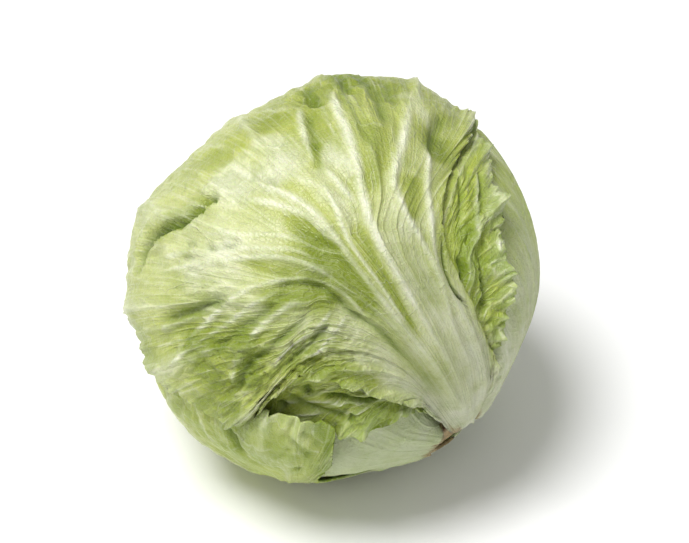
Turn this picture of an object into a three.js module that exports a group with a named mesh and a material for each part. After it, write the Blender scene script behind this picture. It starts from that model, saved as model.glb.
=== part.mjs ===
// A head of iceberg lettuce lying on its side, its cut stem towards the viewer's lower right.
// Millimetres, +Z up. The origin is the middle of the small flat spot that the head rests on.
//
// The core runs from the cut stem into the heart, and the leaves grow from it one over the other.
// A place on the head is given by two angles in degrees: the polar angle from the stem (0 at the
// cut stem, 180 at the crown), and the azimuth round the stem's axis (0 on the side towards the
// viewer, growing towards the viewer's right). Each leaf is a closed sheet whose veins fan out
// from its root to its edge. A leaf sinks where others pass over it and ruffles where none does.
import * as THREE from "three";

// Driving dimensions
const HEAD_RADIUS = 80; // mean radius of the head
const CENTRE_HEIGHT = 78; // height of its centre, so the underside is pressed 2 mm flat
const STEM_AXIS = new THREE.Vector3(0.6, -0.645, -0.473).normalize(); // from the centre to the stem
const VIEW_SIDE = new THREE.Vector3(0, -0.788, 0.616); // towards the viewer
const CORE_REACH = 75.6; // from the head's centre to the cut face, a little inside the leaves' ends
const CORE_DEPTH = 22; // from the head's centre to the core's inner end
const CORE_CONE = 8.4; // half angle of the core, which narrows inwards
const CORE_BEVEL = 1.2; // worn edge of the cut face
const CORE_DISH = 0.9; // depth of the ring that has dried hollow round the middle of the cut face
const CORE_SIDES = 28;
const LEAF_ROOT = 9.4; // polar angle at which the leaves leave the core
const FRONT_ROOT = 6.5; // polar angle of the front leaf's end, which laps over the cut face
const BLADE = 1.1; // thickness of a leaf near its edge
const ROOT_SWELL = 2.6; // how much thicker a leaf is at its white root
const ROOT_FADE = 20; // polar degrees over which that swelling fades
const LAYER_GAP = 1.4; // room between one leaf and the next
const DRAPE = 20; // degrees over which a leaf sinks before it passes under another
const ROOT_DRAPE = 11; // the same beside the core
const DRAPE_FULL = 45; // polar angle from which the first of these two holds
const UNCOVER = 9; // degrees past an upper leaf's edge at which a leaf ruffles to its full height
const RIB_RISE = 1.6; // height of the midrib above the leaf at its root
const PLEAT = 2.6; // height of the ribs above the valleys between them, on the shoulder
const RUFFLE_WIDTH = 22; // breadth of the ruffled band along a leaf's edge
const RUFFLE_PITCH = 5.6; // along the edge, in mm for each radian of the wave
const RUFFLE_SWAY = 1.3; // how unevenly the waves follow each other, in radians
const SWAY_PITCH = 17; // along the edge, in mm for each radian of that unevenness
const VEIN_BEND = 0.75; // how far the outer veins keep by the midrib before they turn to the edge
const HEART_LEAVES = 5; // inner leaves that show on the heart
const HEART_FOLD = 1.8; // height of the step where one inner leaf's edge lies on the next
const HEART_TWIST = 0.45; // degrees that those edges turn round the axis for each polar degree
const HEART_CLEARANCE = 0.6; // room between the heart and the leaves round it
const HEART_CROWN = 172; // polar angle of the heart's last ring, round its crown
const HEART_MOUTH = 0.8; // degrees from the leaves' roots out to the mouth of the heart's socket
const SOCKET_REACH = 21.2; // from the head's centre to the inner end of the heart's socket
const SOCKET_POLAR = 11; // polar angle of that end's rim

// Fineness of the meshes
const EDGE_STEPS = 240; // steps in which a leaf's edge is measured
const COLUMNS_PER_RIB = 8; // columns of a leaf's mesh, at its edge, from one main rib to the next
const HEART_COLUMNS = 40;
const HEART_ROWS = 17;
// Rows of a leaf's mesh from root to edge: how far along its veins, and the share of its columns.
const ROWS = [
  [0, 4], [0.07, 4], [0.14, 4], [0.21, 4], [0.29, 4], [0.37, 2], [0.45, 2], [0.53, 2], [0.61, 2],
  [0.69, 2], [0.77, 1], [0.85, 1], [0.93, 1], [1, 1],
];

// Swells and hollows of the whole head: polar angle, azimuth, breadth in degrees, share of radius.
const SWELLS = [
  [163, 10, 27, -0.085],
  [118, 84, 24, 0.045],
  [138, -75, 22, 0.025],
  [30, 110, 14, -0.065],
  [26, -95, 13, -0.05],
  [52, -100, 16, 0.02],
];

// Where an upper edge stands open, the leaves under it lie deeper: polar angle, azimuth, breadth
// in degrees, depth in mm, and the first leaf in the pile that it reaches.
const HOLLOWS = [
  [58, -30, 14, 5, 2],
  [66, 47, 12, 3.5, 3],
  [95, -36, 9, 3.5, 0],
  [121, -24, 7, 4, 0],
  [121, -46, 7, 4, 0],
];

// The leaves, the outermost first. middle: a point inside the leaf that sees its whole edge. root:
// its polar angle and the azimuths of its two ends. columns: of its mesh. ruffle: height of the
// waves at its edge. edge: points of that edge from the left end of the root, over the tip, to the
// right end.
const LEAVES = [
  {
    name: "leaf_1_front",
    colour: "#b9cf74",
    middle: [85, 10],
    root: [FRONT_ROOT, 0, 84],
    columns: 104,
    ruffle: 3.4,
    edge: [
      [17, -2], [30, -4], [42, -11], [53, -17], [62, -24], [66, -36], [67, -52], [76, -59], [88, -64],
      [100, -69], [112, -79], [126, -95], [143, -115], [158, -145], [166, 175], [158, 140],
      [142, 112], [124, 98], [108, 88], [98, 76], [90, 58], [84, 45], [77, 37], [68, 33], [58, 33],
      [48, 35], [38, 39], [28, 46], [18, 60],
    ],
  },
  {
    name: "leaf_2_underside",
    colour: "#cdd993",
    middle: [82, -125],
    root: [LEAF_ROOT, -176, -124],
    columns: 80,
    ruffle: 4.2,
    edge: [
      [17, -184], [30, -190], [46, -194], [65, -198], [90, -200], [114, -198], [138, -190],
      [158, -170], [167, -127], [158, -95], [140, -82], [120, -72], [100, -60], [80, -51], [66, -44],
      [56, -36], [47, -35], [43, -46], [40, -60], [41, -76], [42, -90], [41, -103], [36, -112],
      [28, -116], [18, -118],
    ],
  },
  {
    name: "leaf_3_inner_front",
    colour: "#9fc25a",
    middle: [82, 12],
    root: [LEAF_ROOT, 3, 50],
    columns: 80,
    ruffle: 5,
    edge: [
      [18, -3], [27, -6], [34, -12], [35, -22], [38, -29], [43, -36], [48, -45], [60, -51],
      [76, -54], [102, -56], [125, -58], [148, -50], [158, 10], [146, 66], [124, 80], [104, 82],
      [93, 74], [84, 67], [76, 60], [67, 54], [58, 50], [50, 51], [42, 48], [34, 45], [22, 46],
    ],
  },
  {
    name: "leaf_4_right",
    colour: "#c6d98a",
    middle: [80, 97],
    root: [LEAF_ROOT, 58, 136],
    columns: 80,
    ruffle: 3.6,
    edge: [
      [18, 48], [30, 37], [45, 28], [65, 26], [85, 31], [106, 45], [130, 58], [154, 66], [166, 97],
      [156, 140], [138, 160], [114, 171], [90, 172], [66, 168], [46, 160], [28, 150], [17, 144],
    ],
  },
  {
    name: "leaf_5_bottom",
    colour: "#d3dca4",
    middle: [78, -50],
    root: [LEAF_ROOT, -110, -14],
    columns: 56,
    ruffle: 3,
    edge: [
      [17, -120], [28, -134], [42, -138], [64, -131], [92, -121], [120, -112], [146, -96], [160, -60],
      [150, -30], [128, -10], [100, 4], [72, 11], [48, 10], [32, 4], [18, -5],
    ],
  },
  {
    name: "leaf_6_back",
    colour: "#bdd27c",
    middle: [80, 180],
    root: [LEAF_ROOT, 140, 222],
    columns: 56,
    ruffle: 3,
    edge: [
      [18, 131], [34, 123], [54, 117], [78, 114], [104, 116], [130, 126], [152, 148], [162, 180],
      [152, 210], [130, 232], [104, 238], [78, 238], [54, 235], [34, 230], [18, 228],
    ],
  },
];

// Directions on the head
const DEGREE = Math.PI / 180;
const TOWARDS = VIEW_SIDE.clone().addScaledVector(STEM_AXIS, -VIEW_SIDE.dot(STEM_AXIS)).normalize();
const SIDEWAYS = new THREE.Vector3().crossVectors(TOWARDS, STEM_AXIS);

function direction(polar, azimuth) {
  const ring = Math.sin(polar * DEGREE);
  return new THREE.Vector3()
    .addScaledVector(STEM_AXIS, Math.cos(polar * DEGREE))
    .addScaledVector(TOWARDS, ring * Math.cos(azimuth * DEGREE))
    .addScaledVector(SIDEWAYS, ring * Math.sin(azimuth * DEGREE));
}

function angleBetween(a, b) {
  return Math.acos(THREE.MathUtils.clamp(a.dot(b), -1, 1)) / DEGREE;
}

function easeBetween(low, high, x) {
  return THREE.MathUtils.smoothstep(x, low, high);
}

// The shape of the whole head
function bell(d, polar, azimuth, breadth) {
  return Math.exp(-((angleBetween(d, direction(polar, azimuth)) / breadth) ** 2));
}

function roundRadius(d) {
  const swell = SWELLS.reduce((sum, [p, a, w, share]) => sum + share * bell(d, p, a, w), 0);
  return HEAD_RADIUS * (1 + swell);
}

// How far the surface that the head lies on is from the centre, that way.
function floorReach(d) {
  return d.z < -0.01 ? CENTRE_HEIGHT / -d.z : Infinity;
}

function headRadius(d) {
  return Math.min(roundRadius(d), floorReach(d));
}

// 0 on the flat spot and 1 a little way outside it.
function offFlatSpot(d) {
  return easeBetween(0, 0.04 * HEAD_RADIUS, floorReach(d) - roundRadius(d));
}

function sheetThickness(d) {
  return BLADE + ROOT_SWELL * Math.exp(-angleBetween(d, STEM_AXIS) / ROOT_FADE);
}

// A leaf's outline, as the angle from its middle to its edge in each direction round it
function makeOutline(leaf) {
  const middle = direction(...leaf.middle);
  const toStem = STEM_AXIS.clone().addScaledVector(middle, -STEM_AXIS.dot(middle)).normalize();
  const across = new THREE.Vector3().crossVectors(toStem, middle);
  const roundOf = (d) => {
    const turn = Math.atan2(d.dot(across), d.dot(toStem)) / DEGREE;
    return turn < 0 ? turn + 360 : turn;
  };
  const [rootPolar, rootStart, rootEnd] = leaf.root;
  const roots = [0, 0.25, 0.5, 0.75, 1].map((part) => [rootPolar, rootStart + (rootEnd - rootStart) * part]);
  const points = [...roots, ...leaf.edge].map((point) => direction(...point));
  const knots = points.map((d) => [roundOf(d), angleBetween(d, middle)]).sort((a, b) => a[0] - b[0]);
  const reachAt = (turn) => {
    const count = knots.length;
    let right = knots.findIndex((knot) => knot[0] > turn);
    if (right < 0) right = count;
    const knot = (index) => {
      const wrapped = ((index % count) + count) % count;
      return [knots[wrapped][0] + 360 * Math.floor(index / count), knots[wrapped][1]];
    };
    const [[x0, y0], [x1, y1], [x2, y2], [x3, y3]] = [-2, -1, 0, 1].map((step) => knot(right + step));
    const width = Math.max(x2 - x1, 1e-6);
    const part = (turn - x1) / width;
    const slopeLeft = ((y2 - y0) / Math.max(x2 - x0, 1e-6)) * width;
    const slopeRight = ((y3 - y1) / Math.max(x3 - x1, 1e-6)) * width;
    const square = part * part;
    const cube = square * part;
    return (
      (2 * cube - 3 * square + 1) * y1 + (cube - 2 * square + part) * slopeLeft +
      (3 * square - 2 * cube) * y2 + (cube - square) * slopeRight
    );
  };
  // Deep inside a leaf the bays of its edge count less, so its veins pass them in wide curves.
  const calmReach = (turn) => {
    const around = [-45, -30, -15, 0, 15, 30, 45].map((step) => reachAt((turn + step + 360) % 360));
    return around.reduce((sum, reach) => sum + reach, 0) / around.length;
  };
  // share is 0 at the leaf's middle and 1 at its edge.
  const place = (turn, share = 1) => {
    const reach = share * THREE.MathUtils.lerp(calmReach(turn), reachAt(turn), share) * DEGREE;
    return middle.clone().multiplyScalar(Math.cos(reach))
      .addScaledVector(toStem, Math.sin(reach) * Math.cos(turn * DEGREE))
      .addScaledVector(across, Math.sin(reach) * Math.sin(turn * DEGREE));
  };
  const turnStart = roundOf(direction(...leaf.edge[0]));
  const turnEnd = roundOf(direction(...leaf.edge[leaf.edge.length - 1]));
  const rootTurns = [roundOf(direction(rootPolar, rootStart)), roundOf(direction(rootPolar, rootEnd)) - 360];
  return { middle, roundOf, reachAt, place, turnStart, turnEnd, rootTurns };
}

const outlines = LEAVES.map(makeOutline);

// Degrees from a leaf's edge, that way, out to a direction: negative inside the leaf.
function pastEdge(outline, d) {
  return angleBetween(d, outline.middle) - outline.reachAt(outline.roundOf(d));
}

// How far the leaves above press a leaf in.
function pileAbove(d, layer) {
  const pitch = sheetThickness(d) + LAYER_GAP;
  const fromRoot = easeBetween(LEAF_ROOT, DRAPE_FULL, angleBetween(d, STEM_AXIS));
  const drape = THREE.MathUtils.lerp(ROOT_DRAPE, DRAPE, fromRoot);
  return outlines.slice(0, layer)
    .reduce((sum, outline) => sum + pitch * (1 - easeBetween(0, drape, pastEdge(outline, d))), 0);
}

function hollowAt(d, layer) {
  return HOLLOWS.filter((hollow) => layer >= hollow[4])
    .reduce((sum, [polar, azimuth, breadth, depth]) => sum + depth * bell(d, polar, azimuth, breadth), 0);
}

// 1 where nothing lies over a leaf, 0 where another leaf or the surface it rests on does.
function freedom(d, layer) {
  return outlines.slice(0, layer)
    .reduce((share, outline) => share * easeBetween(0, UNCOVER, pastEdge(outline, d)), offFlatSpot(d));
}

function smoothLayer(d, layer) {
  return headRadius(d) - pileAbove(d, layer) - hollowAt(d, layer);
}

// Veins and ruffles of one leaf
function makeLeafSurface(leaf, layer) {
  const outline = outlines[layer];
  const turns = [];
  const along = [0];
  for (let step = 0; step <= EDGE_STEPS; step += 1) {
    turns.push(outline.turnStart + ((outline.turnEnd - outline.turnStart) * step) / EDGE_STEPS);
    if (step) {
      const length = outline.place(turns[step]).distanceTo(outline.place(turns[step - 1])) * HEAD_RADIUS;
      along.push(along[step - 1] + length);
    }
  }
  const edgeLength = along[EDGE_STEPS];
  const edgeTurn = (part) => {
    const target = part * edgeLength;
    const right = Math.max(1, along.findIndex((value) => value >= target - 1e-9));
    const share = (target - along[right - 1]) / (along[right] - along[right - 1]);
    return THREE.MathUtils.lerp(turns[right - 1], turns[right], share);
  };
  const discPoint = (turn) => new THREE.Vector2(Math.cos(turn * DEGREE), Math.sin(turn * DEGREE));
  // A vein is a curve on a round disc, which is then stretched over the leaf from its middle.
  const veinPoint = (part, way) => {
    const root = discPoint(THREE.MathUtils.lerp(...outline.rootTurns, part));
    const tip = discPoint(edgeTurn(part));
    const chord = root.distanceTo(tip);
    const bend = root.clone().add(tip).multiplyScalar(0.5 * (1 - (VEIN_BEND * chord) / 2));
    const on = root.clone().multiplyScalar((1 - way) ** 2)
      .addScaledVector(bend, 2 * way * (1 - way))
      .addScaledVector(tip, way ** 2);
    return outline.place(on.angle() / DEGREE, on.length());
  };
  const ribCount = leaf.columns / COLUMNS_PER_RIB;
  // part runs 0 to 1 from the left end of the root and edge to the right end, way from root to edge.
  return (part, way) => {
    const d = veinPoint(part, way);
    const veinLength = angleBetween(veinPoint(part, 0), veinPoint(part, 1)) * DEGREE * HEAD_RADIUS;
    const free = freedom(d, layer);
    const rib = 0.5 + 0.5 * Math.cos(2 * Math.PI * part * ribCount);
    const pleat = PLEAT * easeBetween(0.3, 0.75, way) * rib ** 0.7;
    const midrib = Math.exp(-(((part - 0.5) * ribCount) ** 2));
    const ribRise = RIB_RISE * (1 - way) ** 1.5 * (0.35 * rib + 0.65 * midrib);
    const band = Math.max(0, 1 - ((1 - way) * veinLength) / RUFFLE_WIDTH) ** 1.5;
    const place = part * edgeLength;
    const sway = RUFFLE_SWAY * Math.sin(place / SWAY_PITCH + layer);
    const wave = 0.5 + 0.5 * Math.sin(place / RUFFLE_PITCH + sway);
    const ruffle = leaf.ruffle * band * wave * easeBetween(0, 14, way * veinLength);
    const reach = smoothLayer(d, layer) + free * (pleat + ruffle) + (0.3 + 0.7 * free) * ribRise;
    return { d, reach: Math.min(reach, floorReach(d)), thickness: sheetThickness(d) };
  };
}

// Meshes
const CENTRE = new THREE.Vector3(0, 0, CENTRE_HEIGHT);

function solidMesh(name, material, positions, faces) {
  const geometry = new THREE.BufferGeometry();
  const numbers = positions.flatMap((position) => position.toArray());
  geometry.setAttribute("position", new THREE.Float32BufferAttribute(numbers, 3));
  geometry.setIndex(faces.flat());
  geometry.computeVertexNormals();
  const mesh = new THREE.Mesh(geometry, material);
  mesh.name = name;
  return mesh;
}

// Triangles between two rows of vertices, where the second row has as many columns or twice as many.
function stitch(lower, upper) {
  const faces = [];
  const double = upper.length > lower.length;
  for (let column = 0; column + 1 < lower.length; column += 1) {
    const [a, b] = [lower[column], lower[column + 1]];
    if (double) {
      const [c, d, e] = [2, 1, 0].map((step) => upper[2 * column + step]);
      faces.push([a, d, e], [a, b, d], [b, c, d]);
    } else {
      const [c, d] = [upper[column + 1], upper[column]];
      faces.push([a, c, d], [a, b, c]);
    }
  }
  return faces;
}

function buildLeaf(leaf, layer) {
  const surface = makeLeafSurface(leaf, layer);
  const outer = [];
  const inner = [];
  const rows = ROWS.map(([way, coarse]) => {
    const columns = leaf.columns / coarse;
    return Array.from({ length: columns + 1 }, (_, column) => {
      const { d, reach, thickness } = surface(column / columns, way);
      outer.push(d.clone().multiplyScalar(reach).add(CENTRE));
      inner.push(d.clone().multiplyScalar(reach - thickness).add(CENTRE));
      return outer.length - 1;
    });
  });
  const count = outer.length;
  const faces = rows.slice(1).flatMap((row, index) => stitch(rows[index], row));
  const below = faces.map(([a, b, c]) => [a + count, c + count, b + count]);
  const rim = [
    ...rows[0],
    ...rows.slice(1, -1).map((row) => row[row.length - 1]),
    ...[...rows[rows.length - 1]].reverse(),
    ...rows.slice(1, -1).reverse().map((row) => row[0]),
  ];
  const walls = rim.flatMap((a, index) => {
    const b = rim[(index + 1) % rim.length];
    return [[a, b + count, b], [a, a + count, b + count]];
  });
  const material = new THREE.MeshStandardMaterial({ color: leaf.colour, roughness: 0.45, metalness: 0 });
  return solidMesh(leaf.name, material, [...outer, ...inner], [...faces, ...below, ...walls]);
}

// The heart: the packed inner leaves, one folded over the next, round a socket for the core.
function heartAzimuth(polar, column) {
  return (360 * column) / HEART_COLUMNS + HEART_TWIST * polar;
}

function heartPoint(polar, column) {
  const d = direction(polar, heartAzimuth(polar, column));
  const perLeaf = HEART_COLUMNS / HEART_LEAVES;
  const fold = ((column % perLeaf) / (perLeaf - 1)) * HEART_FOLD * Math.sin(polar * DEGREE);
  return d.multiplyScalar(smoothLayer(d, LEAVES.length) - HEART_CLEARANCE - HEART_FOLD + fold);
}

function socketPoint(column) {
  return direction(SOCKET_POLAR, heartAzimuth(LEAF_ROOT, column)).multiplyScalar(SOCKET_REACH);
}

function ring(point) {
  return Array.from({ length: HEART_COLUMNS }, (_, column) => point(column));
}

function buildHeart() {
  const rings = Array.from({ length: HEART_ROWS }, (_, row) => {
    const polar = THREE.MathUtils.lerp(HEART_CROWN, LEAF_ROOT + HEART_MOUTH, row / (HEART_ROWS - 1));
    return ring((column) => heartPoint(polar, column));
  });
  rings.push(ring(socketPoint));
  const points = rings.flat();
  const crown = points.push(direction(180, 0).multiplyScalar(heartPoint(180, 0).length())) - 1;
  const socketEnd = points.push(STEM_AXIS.clone().multiplyScalar(SOCKET_REACH)) - 1;
  const faces = [];
  for (let column = 0; column < HEART_COLUMNS; column += 1) {
    const next = (column + 1) % HEART_COLUMNS;
    faces.push([crown, column, next]);
    for (let row = 0; row + 1 < rings.length; row += 1) {
      const [upper, lower] = [row * HEART_COLUMNS, (row + 1) * HEART_COLUMNS];
      faces.push([upper + column, lower + column, lower + next]);
      faces.push([upper + column, lower + next, upper + next]);
    }
    const last = (rings.length - 1) * HEART_COLUMNS;
    faces.push([last + column, socketEnd, last + next]);
  }
  const material = new THREE.MeshStandardMaterial({ color: "#dbe0ac", roughness: 0.5, metalness: 0 });
  return solidMesh("heart", material, points.map((p) => p.add(CENTRE)), faces);
}

// The core: a cone of white stem, cut across and browned at its outer end.
function buildCore() {
  const slope = Math.tan(CORE_CONE * DEGREE);
  const profile = [
    [0, CORE_DEPTH],
    [CORE_DEPTH * slope, CORE_DEPTH],
    [(CORE_REACH - CORE_BEVEL) * slope, CORE_REACH - CORE_BEVEL],
    [CORE_REACH * slope - CORE_BEVEL, CORE_REACH],
    [(CORE_REACH * slope) / 2, CORE_REACH - CORE_DISH],
    [0, CORE_REACH],
  ];
  const geometry = new THREE.LatheGeometry(profile.map(([x, y]) => new THREE.Vector2(x, y)), CORE_SIDES);
  geometry.applyQuaternion(new THREE.Quaternion().setFromUnitVectors(new THREE.Vector3(0, 1, 0), STEM_AXIS));
  geometry.translate(0, 0, CENTRE_HEIGHT);
  const material = new THREE.MeshStandardMaterial({ color: "#b08a5c", roughness: 0.7, metalness: 0 });
  const mesh = new THREE.Mesh(geometry, material);
  mesh.name = "core_cut_stem";
  return mesh;
}

const head = new THREE.Group();
LEAVES.forEach((leaf, layer) => head.add(buildLeaf(leaf, layer)));
head.add(buildHeart());
head.add(buildCore());

export default head;
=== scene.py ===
"""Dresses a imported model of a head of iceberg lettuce, and sets up its studio."""
import math

import bpy
import numpy as np
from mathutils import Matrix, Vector


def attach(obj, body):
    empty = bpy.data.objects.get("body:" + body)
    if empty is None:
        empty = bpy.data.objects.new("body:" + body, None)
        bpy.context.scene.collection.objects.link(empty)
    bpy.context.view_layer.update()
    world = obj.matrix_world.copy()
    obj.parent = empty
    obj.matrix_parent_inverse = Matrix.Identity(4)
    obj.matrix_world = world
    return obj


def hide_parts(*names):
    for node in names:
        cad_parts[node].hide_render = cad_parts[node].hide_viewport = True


bl_info = {
    "name": "Head of lettuce",
    "version": (1, 0, 0),
    "blender": (4, 5, 0),
    "location": "View3D > Sidebar > Lettuce",
    "description": "Builds the leaves, heart and cut stem of a head of iceberg lettuce",
    "category": "Object",
}

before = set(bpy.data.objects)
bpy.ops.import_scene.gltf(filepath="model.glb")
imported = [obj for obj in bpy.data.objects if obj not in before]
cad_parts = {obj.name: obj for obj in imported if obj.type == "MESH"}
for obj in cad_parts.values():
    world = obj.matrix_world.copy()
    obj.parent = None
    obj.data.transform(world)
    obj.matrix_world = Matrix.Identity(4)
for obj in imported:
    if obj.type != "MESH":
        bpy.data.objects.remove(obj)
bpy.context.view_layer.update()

# The head's shape, in millimetres and degrees. Polar angles run from the cut stem, azimuths round it
# from the side towards the viewer.
HEAD_RADIUS = 80.0  # mean radius of the head
CENTRE_HEIGHT = 78.0  # height of its centre, so the underside is pressed 2 mm flat
STEM_AXIS = np.array((0.6, -0.645, -0.473))  # from the centre to the cut stem
STEM_AXIS /= np.linalg.norm(STEM_AXIS)
VIEW_SIDE = np.array((0.0, -0.788, 0.616))  # towards the viewer
CORE_REACH = 75.6  # from the head's centre to the cut face
CORE_DEPTH = 22.0  # from the head's centre to the core's inner end
CORE_CONE = 8.4  # half angle of the core, which narrows inwards
CORE_ROWS = 14  # rings of points along the core's side, and again on its cut face
CORE_SIDES = 96  # points round each of them
CORE_START = (0.4, 0.8, 1.0)  # shares of the inner end's radius at which it has rings
CORE_BEVEL = ((0.25, 0.7), (0.7, 0.2))  # in and down from the cut face's rim to its bevel's rings
FACE_INSET = 1.3  # from that rim to the edge of the flat of the cut face
FACE_DISH = 0.9  # how deep that flat is dished, times 4
LEAF_ROOT = 9.4  # polar angle at which the leaves leave the core
FRONT_ROOT = 6.5  # polar angle of the front leaf's end, which laps over the cut face
BLADE = 1.1  # room in the pile that a leaf takes near its edge
THIN_BLADE = 0.7  # thickness of a leaf at its edge
ROOT_SWELL = 2.6  # how much thicker a leaf is at its white root
ROOT_FADE = 20.0  # polar degrees over which that swelling fades
LAYER_GAP = 1.4  # room between one leaf and the next
DRAPE = 20.0  # degrees over which a leaf sinks before it passes under another
ROOT_DRAPE = 11.0  # the same beside the core
DRAPE_FULL = 45.0  # polar angle from which the first of these two holds
UNCOVER = 6.0  # degrees past an upper leaf's edge at which a leaf ruffles to its full height
KEEL_DEPTH = 2.5  # depth of the valley along the low side of the front leaf's midrib
VEIN_BEND = 0.75  # how far the outer veins keep by the midrib before they turn to the edge
EDGE_STEPS = 720  # steps in which a leaf's edge is measured
ROW_CROWDING = 1.15  # how much closer the rows of a leaf's grid lie near its edge
HEART_LEAVES = 5  # inner leaves that show on the heart
HEART_FOLD = 1.8  # height of the step where one inner leaf's edge lies on the next
HEART_OVERLAP = 0.93  # share of an inner leaf's breadth over which it rises to that step
HEART_TWIST = 0.45  # degrees that those edges turn round the axis for each polar degree
HEART_ROWS, HEART_SIDES = 90, 200  # rings of points on the heart, and points round each of them
HEART_INSET = 2.4  # how far the heart lies under the innermost leaf's face
HEART_CROWN = 172.0  # polar angle of the heart's last ring, round its crown
HEART_MOUTH = 0.8  # degrees from the leaves' roots out to the mouth of the heart's socket
SOCKET_POLAR = 11.0  # polar angle of the rim at the inner end of the heart's socket
SOCKET_REACH = 21.2  # from the head's centre to that rim
SOCKET_FLOOR = 20.8  # from the head's centre to the middle of that end

# The relief of a leaf. Heights and breadths are in mm; a pitch is the distance along the leaf's edge
# for each radian of a wave.
RIB_RISE = 1.2  # height of the ribs near the root
FINE_RIB_RISE = 0.5  # height of the fine ribs between them
RUFFLE_WIDTH = 24.0  # breadth of the ruffled band along the edge
RUFFLE_STARTS = (8.0, 34.0)  # distance from the root over which the ruffles grow
RUFFLE_PITCH = 5.6  # of the large ruffles
SWAY_PITCH = 17.0  # of the slow change in their spacing
CURL_PITCH = 1.75  # of the smaller curls on them
CURL_SWAY_PITCH = 7.7  # of the slow change in the curls' spacing
FRILL_PITCH = 0.75  # of the finest frills, close to the edge
MOST_SWAY = 4.0  # ruffles higher than this sway no further
FRINGE_DEPTH = 9.0  # how far the fringe's lobes reach back into the leaf
LOBE_PITCH, LOBE_HEIGHT = 3.1, 2.6  # of the fringe's round lobes
TOOTH_PITCH, TOOTH_HEIGHT = 1.15, 0.8  # of the small teeth on them
BLISTER_SIZE = 4.6
PIMPLE_SIZE = 3.1
SWELL_SIZE = 13.0  # of the broad swells of the blade
CORNER_WIDTH = 5.0  # breadth of the margin over which a leaf thins
DEEPEST = 1.0  # furrows deeper than this are softly made shallower
FRONT_BROWN = (0.38, 0.28)  # part of the front leaf's root, from its left end, that is browned

# Swells and hollows of the whole head: polar angle, azimuth, breadth in degrees, share of radius.
SWELLS = (
    (163, 10, 27, -0.085), (118, 84, 24, 0.045), (138, -75, 22, 0.025),
    (30, 110, 14, -0.065), (26, -95, 13, -0.05), (52, -100, 16, 0.02),
)

# Where an upper edge stands open, the leaves under it lie deeper: polar angle, azimuth, breadth in
# degrees, depth in mm, and the first leaf in the pile that it reaches.
HOLLOWS = (
    (58, -30, 14, 2.0, 2), (66, 47, 12, 3.5, 3), (95, -36, 9, 3.5, 0),
    (121, -24, 7, 2.8, 0), (121, -46, 7, 2.8, 0),
)

# How far from its root the front leaf stays white, in mm, across its width from 0 to 1.
FRONT_WHITE = (
    (0, 0.1, 0.2, 0.3, 0.38, 0.44, 0.48, 0.55, 0.65, 0.75, 0.85, 1),
    (70, 72, 85, 120, 210, 220, 135, 150, 140, 120, 110, 110),
)

# Small dents that run through the whole pile: polar angle, azimuth, breadth in degrees, depth in mm.
DENTS = (
    (129, 54, 2.2, 3.0), (124, 48, 2.6, 2.4), (131, 37, 2.4, 2.8), (126, 35, 2.4, 2.2), (92, 52, 6, 2.5),
    (96, 57, 5, 1.5), (84, -10, 3, 1.5), (79, -4, 3, 2.0), (72, -1, 3, 2.0), (66, 0, 3, 1.5),
)

# The line on the front leaf along which the head drops to the valley beside its midrib.
KEEL = ((11, 34), (20, 20), (29, 13), (42, 11), (52, 9), (60, 8), (78, 7), (93, 7), (106, 4), (118, -6))

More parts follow.
